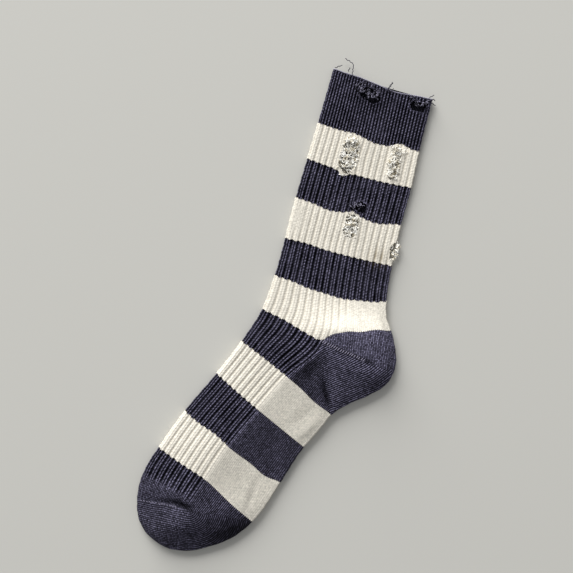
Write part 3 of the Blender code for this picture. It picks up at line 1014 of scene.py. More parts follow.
def band_mesh(band):
    share, wale = stitch_grid(band)
    from_rim = share * length_across(band, wale)
    rounding = RIM_ROUND * np.clip(1 - from_rim / RIM_ROUND, 0, 1) ** 2 * (band == 0)
    cloth = Cloth(band, share, wale)
    outer = cloth.places(rounding)
    outward = outer - cloth.places(rounding + 1.0)
    inside_rows = TOE_INSIDE_ROWS if band == TOE else len(share)
    inset = (BANDS[band].wall + rounding)[:inside_rows]
    inner = Cloth(band, share[:inside_rows], wale[:inside_rows]).places(inset)
    x, y = outer[..., 0] / MM, outer[..., 1] / MM
    opened = opened_cells(band, wale, x, y)
    outer_faces, inner_faces, tip, joins = shell_faces(band, opened, inside_rows)

    mesh = bpy.data.meshes.new(BANDS[band].name)
    points = np.concatenate([outer.reshape(-1, 3), inner.reshape(-1, 3)])
    mesh.from_pydata(points, [], [*outer_faces.tolist(), *inner_faces.tolist(), *tip, *joins])
    ribbing = ribbing_of(band, share, wale, x, y)
    on_top = cloth.side > 0
    kept = {
        "wale": wale,
        "ribbing": ribbing,
        "beading": beading_of(band, ribbing, x, y),
        "stain": nearness(STAIN, x, y) * on_top,
        # dirt, and painted shade on the sole, the heel and the toe and in the creases
        "soiled_and_shaded": dirt_and_shade_of(band, wale, ribbing, x, y) + swell_sum(CREASE_SHADE, x, y) * on_top,
        "inside": np.zeros_like(wale),
    }
    keep_values(mesh, kept, outward, inner.size // 3)

    course = (RIB.marks[band] + share * RIB.span(band)) / COURSE
    aside, ahead = cloth.opened_out()
    grid = Grid(wale, course, ribbing, x + aside, y + ahead)
    counts = stitch_map(band, grid, outer_faces, inner_faces, tip)
    stitches = np.zeros((len(mesh.loops), 2))
    stitches[: len(counts)] = counts
    mesh.uv_layers.new(name="stitches").uv.foreach_set("vector", stitches.ravel())
    return finish_shell(mesh)


print("cuff grid: %d rows by %d columns" % stitch_grid(0)[0].shape)

# %% [markdown]
# ## Ribs with Geometry Nodes
#
# The ribs follow one rule everywhere: how deep the cloth sinks depends on how many wales a point is from
# the nearest sunken wale. A displacement map could hold them, but it would need a picture for each band.
# A Geometry Nodes tree reads the wale from each point, pushes the point inwards, and keeps the depth in
# an attribute, so that the material can shade the groove with the same numbers. A touch of noise makes
# the grooves as uneven as real ones.

# %% Tree helpers
def shape_tree(name, sizes):
    """A Geometry Nodes tree and its named inputs. Sizes are numbers, and whole ones stay whole."""
    tree = bpy.data.node_groups.new(name, "GeometryNodeTree")
    interface = tree.interface
    interface.new_socket("Geometry", in_out="OUTPUT", socket_type="NodeSocketGeometry")
    for label in ("Geometry", "Material"):
        interface.new_socket(label, in_out="INPUT", socket_type="NodeSocket" + label)
    for label, value in sizes.items():
        kind = "NodeSocketInt" if isinstance(value, int) else "NodeSocketFloat"
        interface.new_socket(label, in_out="INPUT", socket_type=kind).default_value = value
    given = tree.nodes.new("NodeGroupInput").outputs
    return tree, {socket.name: Value(tree, socket) for socket in given}


def end_tree(tree, geometry, given):
    """Every tree ends the same way: real geometry, with its material."""
    real = result(tree, GN + "RealizeInstances", {"Geometry": geometry})
    done = result(tree, GN + "SetMaterial", {"Geometry": real, "Material": given["Material"]})
    add_node(tree, "NodeGroupOutput", {"Geometry": done})


def grow(name, mesh, tree, material, **sizes):
    """Run a tree on a mesh, and keep the plain mesh that it makes as an object."""
    seedling = bpy.data.objects.new(name, mesh)
    bpy.context.scene.collection.objects.link(seedling)
    modifier = seedling.modifiers.new(tree.name, "NODES")
    modifier.node_group = tree
    for socket in tree.interface.items_tree:
        if socket.in_out == "INPUT" and socket.name == "Material":
            modifier[socket.identifier] = material
        elif socket.in_out == "INPUT" and socket.name in sizes:
            modifier[socket.identifier] = sizes[socket.name]
    depsgraph = bpy.context.evaluated_depsgraph_get()
    grown = bpy.data.meshes.new_from_object(seedling.evaluated_get(depsgraph))
    grown.name = name
    bpy.data.objects.remove(seedling)
    bpy.data.meshes.remove(mesh)
    piece = bpy.data.objects.new(name, grown)
    bpy.context.scene.collection.objects.link(piece)
    return piece

# %% The rib tree
RIB_SIZES = {
    "Groove Depth": 0.0009,
    "Groove Width": 0.78,  # in wales, where the groove is a third as deep
    "Furrow Share": 0.4,  # of the groove's depth, along the middle of a rib of two wales
    "Furrow Width": 0.52,
    "Wales per Rib": 4.0,
    "Unevenness": 0.8,
    "Uneven Length": 0.009,
}


def rib_tree():
    tree, given = shape_tree("ribs", RIB_SIZES)
    half = given["Wales per Rib"] * 0.5
    to_groove = maths("PINGPONG", attribute(tree, "wale") - half, half)
    groove = maths("EXPONENT", (to_groove / given["Groove Width"]) ** 2.0 * -1.0)
    furrow = maths("EXPONENT", ((half - to_groove) / given["Furrow Width"]) ** 2.0 * -1.0)
    sunken = maths("MAXIMUM", groove, furrow * given["Furrow Share"]) * attribute(tree, "ribbing")
    noise = result(tree, "ShaderNodeTexNoise", {"Scale": 1.0 / given["Uneven Length"], "Detail": 1.0})
    varied = sunken * ((noise - 0.5) * given["Unevenness"] + 1.0)
    outward = {"Name": "outward"}
    outward = result(tree, GN + "InputNamedAttribute", outward, "Attribute", data_type="FLOAT_VECTOR")
    push = vectors(tree, "SCALE", outward, scale=varied * (given["Groove Depth"] * -1.0))
    moved = result(tree, GN + "SetPosition", {"Geometry": given["Geometry"], "Offset": push})
    kept = {"Geometry": moved, "Name": "groove", "Value": varied}
    kept = result(tree, GN + "StoreNamedAttribute", kept, data_type="FLOAT", domain="POINT")
    end_tree(tree, kept, given)
    return tree


RIBS = rib_tree()
print("rib tree: %d nodes" % len(RIBS.nodes))

# %% [markdown]
# ## Knit materials
#
# Each stitch of plain knitting is a V: two legs of yarn that lean together. There are tens of thousands
# of them, far too many to model, and they are small enough that a bump looks the same. The material draws
# them from the UV map. The legs are round across the wale and slanted along it, which gives a height for
# the bump and a gap between stitches, darkened with painted shade. Where the cloth is slack the two legs
# close up into a bead, and where it is taut the wales part into lines. Cotton scatters light from its fine
# hairs, so it is rough, with hardly any gloss. The sunken wales get painted shade, and so does the inside,
# where the light hardly reaches.

# %% Knit material
# gap and groove are colours of painted shade, between stitches and in the sunken wales. Further on, one
# number says how much of the near-black tone of dirt and painted shade a yarn takes, and shade is how much
# painted shade its inside gets.
YARN_COLUMNS = "colour gap gap_share groove groove_share lift speckle heather blotch dirt shade relief"
Yarn = namedtuple("Yarn", YARN_COLUMNS)
YARNS = {
    "navy": Yarn(
        colour=(0.262, 0.248, 0.365),
        gap=(0.003, 0.002, 0.005),
        gap_share=1.0,
        groove=(0.001, 0.001, 0.002),
        groove_share=1.0,
        lift=0.15,
        speckle=0.5,
        heather=0.38,
        blotch=0.12,
        dirt=0.66,
        shade=0.9,
        relief=0.0005,
    ),
    "cream": Yarn(
        colour=(0.785, 0.745, 0.655),
        gap=(0.56, 0.51, 0.42),
        gap_share=0.3,
        groove=(0.46, 0.39, 0.29),
        groove_share=0.22,
        lift=0.0,
        speckle=0.11,
        heather=0.1,
        blotch=0.03,
        dirt=0.2,
        shade=0.6,
        relief=0.00012,
    ),
}
STAIN_COLOUR = (0.20, 0.15, 0.07)
# the near-black tone of dirt and painted shade, also used for the painted shade of the inside
SHADE_AND_DIRT_COLOUR = (0.003, 0.003, 0.004)
FUZZ_SCALE = 1500.0  # for each metre
BLOTCH_SCALE = 60.0
HEATHER_SCALE = 800.0
LEG_PARTING = 0.3  # how far the two legs of a ribbed stitch part
LEG_SLANT = 0.55  # courses that a leg rises on its way out
STROKE_SLANT = 0.6  # the same, for the paler strokes
PAIR_SHIFT = 0.37  # courses between the strokes of one pair of wales and the next
# Two numbers are a value in plain cloth and what full ribbing adds. A third is what full beading adds.
COURSE_GAP = (0.35, 0.25, 0.4)  # how deep the gap between courses is
LEG_SHARPNESS = (4.0, -3.0, -2.2)  # how steeply a leg falls off to its sides
TONE_CHANCE = (1.8, -0.8)  # how much one stitch differs from the next
TONE_STROKES = (0.4, 0.6)  # how strong the paler strokes are
GROOVE_POWER = 0.65  # under 1, a shallow groove already gets dark painted shade
STAIN_BASE, STAIN_IN_GROOVE = 0.2, 0.6
# the most dirt and painted shade that is mixed in, and below it the most stain
MOST_DIRT_AND_SHADE = 0.93
MOST_STAIN = 0.9
FUZZ = 0.5  # of a stitch's height
KNIT_ROUGHNESS = 0.95
KNIT_GLOSS = 0.04


def by_cloth(ribbing, plain, ribbed, beaded=None, beading=None):
    value = ribbing * ribbed + plain
    return value if beaded is None else beading * beaded + value


def stitch_height(wale, course, ribbing, beading):
    """The height over one wale and one course, from 0 in the gaps to 1 on the legs of the stitch."""
    across = maths("PINGPONG", wale - 0.5, 0.5) * 2.0
    leg = 1.0 - maths("ABSOLUTE", across * 2.0 - 1.0) ** 2.0
    column = 1.0 - across**2.0
    legs = (leg - column) * (ribbing * LEG_PARTING) + column
    stroke = maths("SINE", maths("FRACT", across * LEG_SLANT + course) * pi)
    gap = by_cloth(ribbing, *COURSE_GAP, beading)
    sharpness = by_cloth(ribbing, *LEG_SHARPNESS, beading)
    return maths("MAXIMUM", legs, 0.0) ** sharpness * ((stroke - 1.0) * gap + 1.0)


def stitch_tone(tree, wale, course, ribbing, amount):
    """A tone of its own for each stitch, and paler strokes that slant across every second course."""
    cell = result(tree, "ShaderNodeCombineXYZ", {0: maths("FLOOR", wale), 1: maths("FLOOR", course)})
    stitch = result(tree, "ShaderNodeTexWhiteNoise", {"Vector": cell}, noise_dimensions="2D")
    slanted = maths("FLOOR", wale * 0.5) * PAIR_SHIFT + (wale * STROKE_SLANT + course)
    stroke = maths("SINE", (stitch * 0.5 + slanted) * pi)
    chance = (stitch - 0.5) * by_cloth(ribbing, *TONE_CHANCE)
    return (stroke * by_cloth(ribbing, *TONE_STROKES) + chance) * amount + 1.0


def knit_material(name, yarn):
    material = bpy.data.materials.new(name)
    material.use_nodes = True
    tree = material.node_tree
    place = result(tree, "ShaderNodeTexCoord", output="Object")
    counts = result(tree, "ShaderNodeUVMap", uv_map="stitches")
    counts = add_node(tree, "ShaderNodeSeparateXYZ", {"Vector": counts}).outputs
    wale, course = (Value(tree, socket) for socket in counts[:2])
    ribbing, groove = attribute(tree, "ribbing"), attribute(tree, "groove")
    height = stitch_height(wale, course, ribbing, attribute(tree, "beading"))

    def noise(scale, detail):
        return result(tree, "ShaderNodeTexNoise", {"Vector": place, "Scale": scale, "Detail": detail})

    # painted shade in the gaps between stitches
    colour = mix_colours(tree, (1.0 - height) * yarn.gap_share, yarn.colour, yarn.gap)
    blotch = smooth_step(noise(BLOTCH_SCALE, 3.0), 0.3, 0.7, 1 - yarn.blotch, 1 + yarn.blotch)
    heather = smooth_step(noise(HEATHER_SCALE, 4.0), 0.35, 0.65, 1 - yarn.heather, 1 + yarn.heather)
    tone = stitch_tone(tree, wale, course, ribbing, yarn.speckle) * blotch * heather
    tone = tone * by_cloth(ribbing, 1 + yarn.lift, -yarn.lift)
    tone = result(tree, "ShaderNodeCombineColor", dict.fromkeys(range(3), tone))
    colour = mix_colours(tree, 1.0, colour, tone, "MULTIPLY")
    # painted shade in the sunken wales
    sunken = maths("MAXIMUM", groove, 0.0) ** GROOVE_POWER * yarn.groove_share
    colour = mix_colours(tree, maths("MINIMUM", sunken, 1.0), colour, yarn.groove)
    # dirt and painted shade: the number that each point carries mixes in a near-black tone
    soiled_and_shaded = maths("MINIMUM", attribute(tree, "soiled_and_shaded") * yarn.dirt, MOST_DIRT_AND_SHADE)
    colour = mix_colours(tree, soiled_and_shaded, colour, SHADE_AND_DIRT_COLOUR)
    stain = attribute(tree, "stain") * (groove * STAIN_IN_GROOVE + STAIN_BASE)
    stain = maths("MINIMUM", stain, MOST_STAIN)
    colour = mix_colours(tree, stain, colour, STAIN_COLOUR)
    # painted shade on the inner face
    colour = mix_colours(tree, attribute(tree, "inside") * yarn.shade, colour, SHADE_AND_DIRT_COLOUR)

    rough = noise(FUZZ_SCALE, 2.0) * FUZZ + height
    bump = result(tree, "ShaderNodeBump", {"Height": rough, "Distance": yarn.relief, "Strength": 1.0})
    shader = tree.nodes["Principled BSDF"]
    looks = {"Base Color": colour, "Normal": bump}
    looks.update({"Roughness": KNIT_ROUGHNESS, "Specular IOR Level": KNIT_GLOSS})
    for socket, value in looks.items():
        plug(tree, value, shader.inputs[socket])
    return material


KNIT = {name: knit_material(name + "_knit", yarn) for name, yarn in YARNS.items()}
print("knit materials:", ", ".join(material.name for material in KNIT.values()))

# %% [markdown]
# ## The eleven bands
#
# The bands differ only in their yarn, their ribs and their place along the sock, so one loop makes them
# all: the shell first, and then the rib tree with that band's own sizes. They could be one mesh with two
# materials. Each is an object of its own because the frame has a solid for each, and a band takes that
# solid's place.

# %% Make the bands
GROOVE_WIDTHS = {"navy": 0.88, "cream": 0.7}
FURROW_SHARES = {"navy": 0.8, "cream": 0.14}
CUFF_GROOVE = 0.8  # the width of a one and one rib's groove, as a share of the others
bands = {}
for number, band in enumerate(BANDS):
    bands[band.name] = grow(
        band.name + "_cloth",
        band_mesh(number),
        RIBS,
        KNIT[band.yarn],
        **{
            "Groove Depth": band.rib_depth * MM,
            "Wales per Rib": float(band.wales_per_rib),
            "Groove Width": GROOVE_WIDTHS[band.yarn] * (CUFF_GROOVE if band.wales_per_rib == 2 else 1.0),
            "Furrow Share": FURROW_SHARES[band.yarn] if band.wales_per_rib == 4 else 0.0,
        },
    )
    print("%s: %d faces" % (band.name, len(bands[band.name].data.polygons)))

# %% [markdown]
# ## Loose yarn
#
# Where knitting breaks, its yarn keeps the wave of the stitches that it came from. Hair strands could
# show it, but they are not meshes, and every piece here is a plain mesh. Here one part of a tree makes
# all of it: it walks along a line, winds it round in small uneven turns, keeps it above the table, and
# gives it the thickness of yarn. A first tree feeds it with guide lines, and a second with curls
# scattered over a patch.

# %% Yarn trees
YARN_SIZES = {
    "Thickness": 0.0006,
    "Wave Length": 0.0024,
    "Wave Reach": 0.0006,
    "Tangle": 0.0009,
    "Lowest": 0.0004,
    "Seed": 3,
}
CURL_SIZES = {
    **YARN_SIZES,
    "Curls per Square Metre": 300000.0,
    "Curl Radius": 0.0016,
    "Curl Turns": 1.3,
}
YARN_STEP = 0.0004
YARN_SIDES = 5
TANGLE_SCALE = 330.0  # for each metre
CROSS_RATE = 0.73  # turns across for each turn up, so that a wave never repeats
CURL_CLOSING = 0.6  # the radius of a curl's end, as a share of its start's
SMALLEST_CURL, LARGEST_CURL = 0.5, 1.25


def spin_yarn(tree, curves, given):
    """Wind curves into wavy yarn."""
    steps = {"Curve": curves, "Length": YARN_STEP}
    steps = result(tree, GN + "ResampleCurve", steps, mode="LENGTH")
    along = result(tree, GN + "SplineParameter", output="Length")
    angle = (along / given["Wave Length"] + attribute(tree, "lot")) * (2 * pi)
    normal = result(tree, GN + "InputNormal")
    aside = vectors(tree, "CROSS_PRODUCT", result(tree, GN + "InputTangent"), normal)
    up = vectors(tree, "SCALE", normal, scale=maths("SINE", angle))
    over = vectors(tree, "SCALE", aside, scale=maths("COSINE", angle * CROSS_RATE))
    wave = vectors(tree, "SCALE", vectors(tree, "ADD", up, over), scale=given["Wave Reach"])
    noise = {"W": given["Seed"], "Scale": TANGLE_SCALE, "Detail": 1.0}
    noise = result(tree, "ShaderNodeTexNoise", noise, "Color", noise_dimensions="4D")
    centred = vectors(tree, "SUBTRACT", noise, (0.5, 0.5, 0.5))
    tangled = vectors(tree, "SCALE", centred, scale=given["Tangle"] * 4.0)
    place = vectors(tree, "ADD", result(tree, GN + "InputPosition"), vectors(tree, "ADD", wave, tangled))
    x, y, z = add_node(tree, "ShaderNodeSeparateXYZ", {"Vector": place}).outputs
    kept = {"X": x, "Y": y, "Z": maths("MAXIMUM", Value(tree, z), given["Lowest"])}
    kept = result(tree, "ShaderNodeCombineXYZ", kept)
    wavy = result(tree, GN + "SetPosition", {"Geometry": steps, "Position": kept})
    ring = {"Resolution": YARN_SIDES, "Radius": given["Thickness"] * 0.5}
    ring = result(tree, GN + "CurvePrimitiveCircle", ring)
    tube = {"Curve": wavy, "Profile Curve": ring, "Fill Caps": True}
    return result(tree, GN + "SetShadeSmooth", {"Geometry": result(tree, GN + "CurveToMesh", tube)})


def strand_tree():
    tree, given = shape_tree("strands", YARN_SIZES)
    curves = result(tree, GN + "MeshToCurve", {"Mesh": given["Geometry"]})
    end_tree(tree, spin_yarn(tree, curves, given), given)
    return tree


def curl_tree():
    tree, given = shape_tree("curls", CURL_SIZES)
    seed = {"Seed": given["Seed"]}
    spots = {"Mesh": given["Geometry"], "Density": given["Curls per Square Metre"], **seed}
    spots = result(tree, GN + "DistributePointsOnFaces", spots, "Points")
    radius = given["Curl Radius"]
    curl = {"Resolution": 20, "Rotations": given["Curl Turns"], "Height": radius}
    curl.update({"Start Radius": radius, "End Radius": radius * CURL_CLOSING})
    curl = result(tree, GN + "CurveSpiral", curl)
    turns = {0: (0.0, 0.0, 0.0), 1: (2 * pi, 2 * pi, 2 * pi), **seed}
    turns = result(tree, "FunctionNodeRandomValue", turns, data_type="FLOAT_VECTOR")
    turns = result(tree, "FunctionNodeEulerToRotation", {0: turns})
    scales = {2: SMALLEST_CURL, 3: LARGEST_CURL, **seed}
    scales = result(tree, "FunctionNodeRandomValue", scales, 1, data_type="FLOAT")
    curls = {"Points": spots, "Instance": curl, "Rotation": turns, "Scale": scales}
    curls = result(tree, GN + "InstanceOnPoints", curls)
    curls = result(tree, GN + "RealizeInstances", {"Geometry": curls})
    end_tree(tree, spin_yarn(tree, curls, given), given)
    return tree


STRANDS = strand_tree()
CURLS = curl_tree()
print("yarn trees: %d and %d nodes" % (len(STRANDS.nodes), len(CURLS.nodes)))

# %% [markdown]
# The guides are lists of points in millimetres. A tuft's patch is a small dome that its curls stand on.
# Both have to lie on cloth that is wavy, so the cloth's own height at a place comes from a ray that falls
# on the band. A tangle of yarn shades itself, so its material has dark and light lengths, and the dark
# ones are painted shade.

# %% Guides, patches and yarn materials
# Each yarn has a dark tone, which is painted shade between its loops, a light tone, and the span of noise
# over which one turns into the other.
YARN_COLOURS = {
    "navy": ((0.004, 0.0035, 0.006), (0.22, 0.21, 0.275), (0.46, 0.6)),
    "cream": ((0.68, 0.62, 0.49), (0.96, 0.94, 0.88), (0.36, 0.54)),
}
LENGTH_SCALE = 330.0  # for each metre, of the lengths of painted shade and of light yarn along a yarn
YARN_ROUGHNESS = 0.95
ABOVE_ALL = 0.1  # metres


def guide_mesh(name, strands, closed=False):
    mesh = bpy.data.meshes.new(name)
    points, edges, lots = [], [], []
    for number, strand in enumerate(strands):
        first = len(points)
        points.extend(Vector(point) * MM for point in strand)
        edges.extend((i, i + 1) for i in range(first, len(points) - 1))
        if closed:
            edges.append((len(points) - 1, first))
        lots.extend([number * 0.618 % 1] * len(strand))
    mesh.from_pydata(points, edges, [])
    mesh.attributes.new("lot", "FLOAT", "POINT").data.foreach_set("value", lots)
    return mesh


Tuft = namedtuple("Tuft", "x y z width length turn rise")


def tuft_patch(name, tufts):
    """Small domes, one for each tuft."""
    mesh = bpy.data.meshes.new(name)
    bm = bmesh.new()
    for tuft in tufts:
        made = bmesh.ops.create_grid(bm, x_segments=8, y_segments=8, size=1.0)["verts"]
        lean = radians(tuft.turn)
        for vert in made:
            u, v = vert.co.x * np.sqrt(1 - vert.co.y**2 / 2), vert.co.y * np.sqrt(1 - vert.co.x**2 / 2)
            along, across = u * tuft.width / 2, v * tuft.length / 2
            x = tuft.x + along * cos(lean) - across * sin(lean)
            y = tuft.y + along * sin(lean) + across * cos(lean)
            vert.co = Vector((x, y, tuft.z + tuft.rise * (1 - u * u - v * v))) * MM
    bm.to_mesh(mesh)
    bm.free()
    return mesh


def top_at(piece, x, y):
    """The height of the cloth at a place, in millimetres."""
    hit, place, *_ = piece.ray_cast((x * MM, y * MM, ABOVE_ALL), (0, 0, -1))
    return place.z / MM if hit else 0.0


def yarn_material(name, dark, light, share):
    material = plain_material(name, light, YARN_ROUGHNESS)
    tree = material.node_tree
    shader = tree.nodes["Principled BSDF"]
    place = result(tree, "ShaderNodeTexCoord", output="Object")
    lengths = result(tree, "ShaderNodeTexNoise", {"Vector": place, "Scale": LENGTH_SCALE, "Detail": 2.0})
    # the dark lengths paint the shade that a tangle casts on itself
    colour = mix_colours(tree, smooth_step(lengths, *share), dark, light)
    plug(tree, colour, shader.inputs["Base Color"])
    shader.inputs["Specular IOR Level"].default_value = 0.05
    return material


YARN_MATERIALS = {name: yarn_material(name + "_yarn", *look) for name, look in YARN_COLOURS.items()}
bpy.context.view_layer.update()
print("cuff's height at its middle: %.1f mm" % top_at(bands["cuff_navy"], 27, 160))

# %% [markdown]
# In a ladder the wales have come undone, and only the yarn of each course is left, lying across like a
# rung. A picture of threads would look flat, because real ones cast a shade on the layer below. So each
# rung is a guide line from one edge of the hole to the other, a little slack, and drawn with a fixed
# seed.

# %% Ladders
LADDER_STEP = 0.95
LADDER_POINTS = 6  # on each strand
LADDER_SLANT = 1.6  # mm, how unevenly strands lean
LADDER_SLACK = 0.8  # and bend
LADDER_SAGS = (-0.1, 0.5)  # mm, the least and the most that a strand's middle hangs
LADDER_GRIP = 0.9  # mm that a strand reaches under the hole's edge
LADDER_DEPTHS = {"shin": 0.35, "calf": 0.15, "middle_cream": 0.5}  # mm under the cloth's top
OPEN_ENDS = {"shin": 2.6, "calf": 0.6, "middle_cream": 0.6}  # mm at the lower end that no strand crosses
ON_LOWER_LAYER = 0.0022
rng = np.random.default_rng(41)
threads = {}


def ladder(hole):
    """The yarn of each broken course, still crossing the hole, slack and crossing its neighbours."""
    piece = bands[hole.band]
    strands = []
    lean = radians(hole.lean)
    for middle in np.arange(OPEN_ENDS[hole.name] - hole.length / 2, hole.length / 2, LADDER_STEP):
        share = abs(2 * middle / hole.length)
        half = hole.width / 2 * (1 - share**HOLE_SQUARENESS) ** (1 / HOLE_SQUARENESS) + LADDER_GRIP
        slant = rng.normal(0, LADDER_SLANT)
        strand = []
        for step in np.linspace(-1, 1, LADDER_POINTS):
            across = step * half
            along = middle + slant * step + rng.normal(0, LADDER_SLACK)
            x = hole.x + across * cos(lean) + along * sin(lean)
            y = hole.y - across * sin(lean) + along * cos(lean)
            strand.append([x, y, 0])
        ends = [top_at(piece, *strand[i][:2]) for i in (0, -1)]
        sag = rng.uniform(*LADDER_SAGS)
        for share, point in zip(np.linspace(0, 1, LADDER_POINTS), strand):
            height = ends[0] + share * (ends[1] - ends[0])
            point[2] = height - LADDER_DEPTHS[hole.name] - sag * 4 * share * (1 - share)
        strands.append(strand)
    return strands


def add_thread(carrier, name, mesh, tree, material, **sizes):
    """Grow a piece of yarn, and note which band carries it."""
    thread = grow(name, mesh, tree, material, **sizes)
    threads.setdefault(carrier, []).append(thread)
    print("%s: %d faces" % (name, len(thread.data.polygons)))


ladder_sizes = {"Thickness": 0.00062, "Wave Length": 0.0026, "Wave Reach": 0.0007, "Lowest": ON_LOWER_LAYER}
for name in ("leg_cream_upper", "leg_cream_lower"):
    crossed = [hole for hole in HOLES if hole.band == name and hole.name in LADDER_DEPTHS]
    guides = guide_mesh(name, [strand for hole in crossed for strand in ladder(hole)])
    add_thread(name, name + "_ladders", guides, STRANDS, YARN_MATERIALS["cream"], **ladder_sizes)

# %% [markdown]
# The cuff's edge has frayed into two bunches of loops, and shorter curls stand round the holes. Each loop
# could be drawn by hand, but no single one matters, only how thick and how springy the bunch is. So curls
# are scattered over small domes, and the two bunches at the cuff take the place of the two plain fray
# solids.

# %% Tufts and curls
CUFF_TUFTS = {
    "fray_middle": Tuft(18.5, 171.7, 4.4, 21.0, 11.0, -16.0, 1.5),
    "fray_back": Tuft(56.5, 172.0, 4.2, 14.0, 8.0, -12.0, 1.5),
}
HOLE_CURLS = {
    "leg_cream_upper": [
        Tuft(15.3, 134.0, 4.4, 12.0, 5.0, -6.0, 1.7),
        Tuft(14.6, 124.0, 3.9, 9.0, 10.0, 0.0, 0.4),
        Tuft(12.5, 109.6, 4.2, 7.0, 2.5, -8.0, 0.6),
        Tuft(49.0, 135.4, 4.6, 14.0, 5.5, -14.0, 1.1),
        Tuft(48.0, 121.5, 4.4, 8.0, 20.0, 3.0, 0.4),
    ],
    "leg_navy_upper": [
        Tuft(25.5, 88.5, 4.4, 5.0, 6.0, -20.0, 0.6),
        Tuft(31.0, 88.3, 3.0, 7.0, 6.0, -20.0, 0.3),
    ],
    "leg_cream_lower": [
        Tuft(28.0, 80.0, 4.3, 9.0, 3.0, -8.0, 0.5),
        Tuft(27.3, 72.5, 3.9, 8.0, 12.0, 0.0, 0.4),
        Tuft(61.3, 62.5, 3.2, 6.5, 15.0, 0.0, 0.6),
    ],
}


def curl_look(radius, density, turns, **sizes):
    return {"Curl Radius": radius, "Curls per Square Metre": density, "Curl Turns": turns, **sizes}


CUFF_LOOK = curl_look(0.0032, 85000.0, 0.8)
HOLE_LOOKS = {
    "navy": curl_look(0.0017, 250000.0, 0.9, Lowest=ON_LOWER_LAYER),
    "cream": curl_look(0.0014, 230000.0, 1.1, Lowest=ON_LOWER_LAYER),
}
for name, tuft in CUFF_TUFTS.items():
    patch = tuft_patch(name, [tuft])
    add_thread("cuff_navy", name + "_curls", patch, CURLS, YARN_MATERIALS["navy"], **CUFF_LOOK)
for name, tufts in HOLE_CURLS.items():
    colour = BANDS[NUMBER[name]].yarn
    patch = tuft_patch(name, tufts)
    add_thread(name, name + "_curls", patch, CURLS, YARN_MATERIALS[colour], **HOLE_LOOKS[colour])

# %% [markdown]
# Four more kinds of yarn lie on the cloth: the slanted stitches of the heel's diagonal seam, the line
# that links the toe, the cast-off edge round the cuff's mouth, and a few stray ends. All are guide lines
# for the strand tree, with other sizes, so nothing new has to be made for them.

# %% Seams and stray ends
GORE_STITCH = 1.75
GORE_SHOWN = 36.0  # beyond this the seam's stitches sink in
GORE_LENGTH = 1.25  # half of a stitch
GORE_LENGTHS = (0.8, 1.15)  # the shortest and the longest, as a share of that
GORE_SLANT = radians(60)
GORE_ASIDE = 0.4  # mm above the seam's line
GORE_FROM = 1.5  # mm along it
GORE_UNEVEN = 0.12  # mm that a stitch strays
GORE_LIFT, GORE_SINKING = 0.25, 0.3  # mm above the cloth where it starts, and lower where it ends
GORE_DROOP = 0.2  # how far a stitch's ends go down, for each millimetre out
TOE_LINE = (-78.0, -50.0)  # from one x to the other, by the step below
TOE_LINE_STEP = 1.0
RIM_PLACE = (0.004, 0.35)  # the share of the cuff, and how far inside its face
EDGE_COLOURS = {
    "seam": (0.22, 0.205, 0.275),
    # lighter than the cuff: a painted highlight along its edge
    "rim": (0.36, 0.345, 0.43),
    "stray": (0.05, 0.045, 0.065),
}
STRAYS = [
    [(31.0, 174.5, 4.6), (32.4, 177.5, 5.6), (34.0, 180.5, 6.4)],
    [(31.3, 174.2, 4.8), (32.8, 177.2, 5.5), (34.1, 180.2, 6.2)],
    [(34.0, 174.0, 4.4), (34.6, 175.8, 4.8), (35.6, 176.9, 5.0)],
    [(61.5, 175.0, 4.2), (63.6, 177.2, 4.6), (65.2, 178.6, 4.6)],
    [(63.0, 174.2, 4.0), (65.5, 175.6, 4.2), (67.0, 175.2, 4.0)],
    [(63.8, 172.5, 3.6), (66.0, 172.8, 3.6), (67.6, 171.8, 3.2)],
    [(-9.0, 182.5, 4.2), (-6.5, 184.2, 4.6), (-4.0, 185.0, 4.8)],
    [(1.0, 181.5, 4.6), (1.2, 183.2, 5.2), (1.5, 184.5, 5.4)],
    [(4.0, 179.5, 5.0), (4.2, 183.5, 5.6), (3.0, 188.5, 4.2), (-3.0, 191.0, 2.6)],
]
for name, colour in EDGE_COLOURS.items():
    YARN_MATERIALS[name] = plain_material(name + "_yarn", colour, YARN_ROUGHNESS)


def add_strands(carrier, name, strands, yarn, closed=False, **sizes):
    add_thread(carrier, name, guide_mesh(name, strands, closed), STRANDS, YARN_MATERIALS[yarn], **sizes)


seam = []
gore_length = np.append(0, np.cumsum(np.hypot(*np.diff(GORE, axis=0).T)))
for along in np.arange(GORE_FROM, GORE_SHOWN, GORE_STITCH):
    x, y = (np.interp(along, gore_length, axis) + rng.normal(0, GORE_UNEVEN) for axis in zip(*GORE))
    y += GORE_ASIDE
    height = top_at(bands["heel_navy"], x, y) + GORE_LIFT - GORE_SINKING * along / GORE_SHOWN
    reach = GORE_LENGTH * rng.uniform(*GORE_LENGTHS)
    stitch = []
    for step in (-reach, 0, reach):
        aside, ahead = step * cos(GORE_SLANT), step * sin(GORE_SLANT)
        stitch.append((x + aside, y + ahead, height - GORE_DROOP * abs(step)))
    seam.append(stitch)
toe_line = []
for x in np.arange(*TOE_LINE, TOE_LINE_STEP):
    y = float(np.interp(x, *zip(*TOE_SEAM)))
    toe_line.append((x, y, top_at(bands["toe_navy"], x, y)))
rim_wale = np.arange(0, WALES, 0.5)
rim = Cloth(0, np.full_like(rim_wale, RIM_PLACE[0]), rim_wale).places(RIM_PLACE[1]) / MM

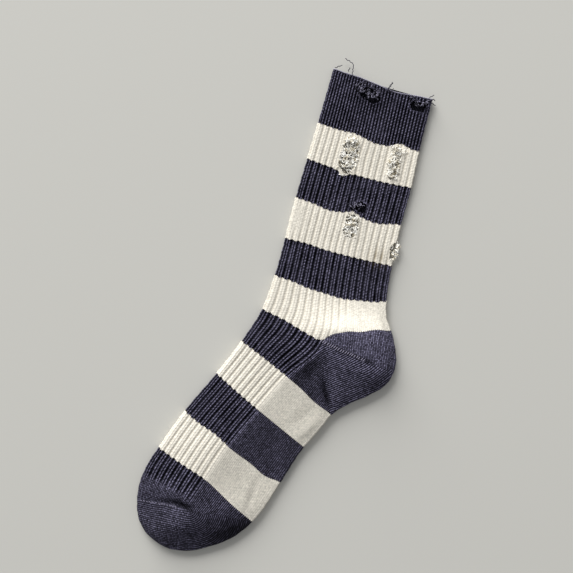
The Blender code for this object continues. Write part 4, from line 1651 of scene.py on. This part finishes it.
taut = {"Wave Reach": 0.0, "Tangle": 0.0, "Thickness": 0.0008}
add_strands("heel_navy", "heel_gore_stitches", seam, "seam", **taut)
linked = {"Wave Length": 0.0016, "Wave Reach": 0.0003, "Tangle": 0.0003, "Thickness": 0.00045}
add_strands("toe_navy", "toe_linking", [toe_line], "seam", **linked)
looped = {"Wave Length": 0.00104, "Wave Reach": 0.0002, "Tangle": 0.0001}
add_strands("cuff_navy", "cast_off_edge", [rim.tolist()], "rim", closed=True, **looped)
straight = {"Wave Reach": 0.0002, "Tangle": 0.0003, "Thickness": 0.00055}
add_strands("cuff_navy", "stray_ends", STRAYS, "stray", **straight)
print("%d stitches in the heel's seam" % len(seam))

# %% [markdown]
# ## Attach each piece, and size its cloth
#
# Every piece rides on the sock's one body. A band takes the place of its solid, and the size of the
# cloth in it is worked out. Nobody measured that cloth. Its size follows from the grid of stitches: round
# the tube, along its longest wale, and over all its faces. The loose yarn of a band is attached along
# with that band.

STEPPED_PART = 5  # a fifth of the rows, at each end


def flat_size(band):
    """How far round the band is at its widest, its longest length, and its cloth's area, in metres.

    The rows near its two ends follow the stitches' steps, so they don't say how wide the cloth is.
    """
    share, wale = stitch_grid(band)
    skin = Cloth(band, share, wale).places(0.0)
    stepped = len(skin) // STEPPED_PART
    rows = np.linalg.norm(np.roll(skin, -1, axis=1) - skin, axis=-1).sum(axis=1)
    around = float(rows[stepped:-stepped].max())
    longest = float(np.linalg.norm(np.diff(skin, axis=0), axis=-1).sum(axis=0).max())
    beside = np.roll(skin, -1, axis=1)
    first, second = skin[1:] - beside[:-1], beside[1:] - skin[:-1]
    area = float(np.linalg.norm(np.cross(first, second), axis=-1).sum() / 2)
    return around, longest, area


cut = []
for number, band in enumerate(BANDS):
    cloth = bands[band.name]
    carried = threads.get(band.name, [])
    for piece in (cloth, *carried):
        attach(piece, "root")
    for thread in carried:
        "cream_knit" if band.yarn == "cream" else "navy_yarn"
    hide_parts(band.name)
    band.yarn + "_knit"
    around, longest, area = flat_size(number)
    cut.append(area)
    print("%s: %.0f mm round, %.0f mm long, cut %.4f m2" % (band.name, around / MM, longest / MM, area))
for tuft, name in zip(threads["cuff_navy"], CUFF_TUFTS):  # its tufts were made first
    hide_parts(name)
print("whole cut: %.4f m2" % sum(cut))
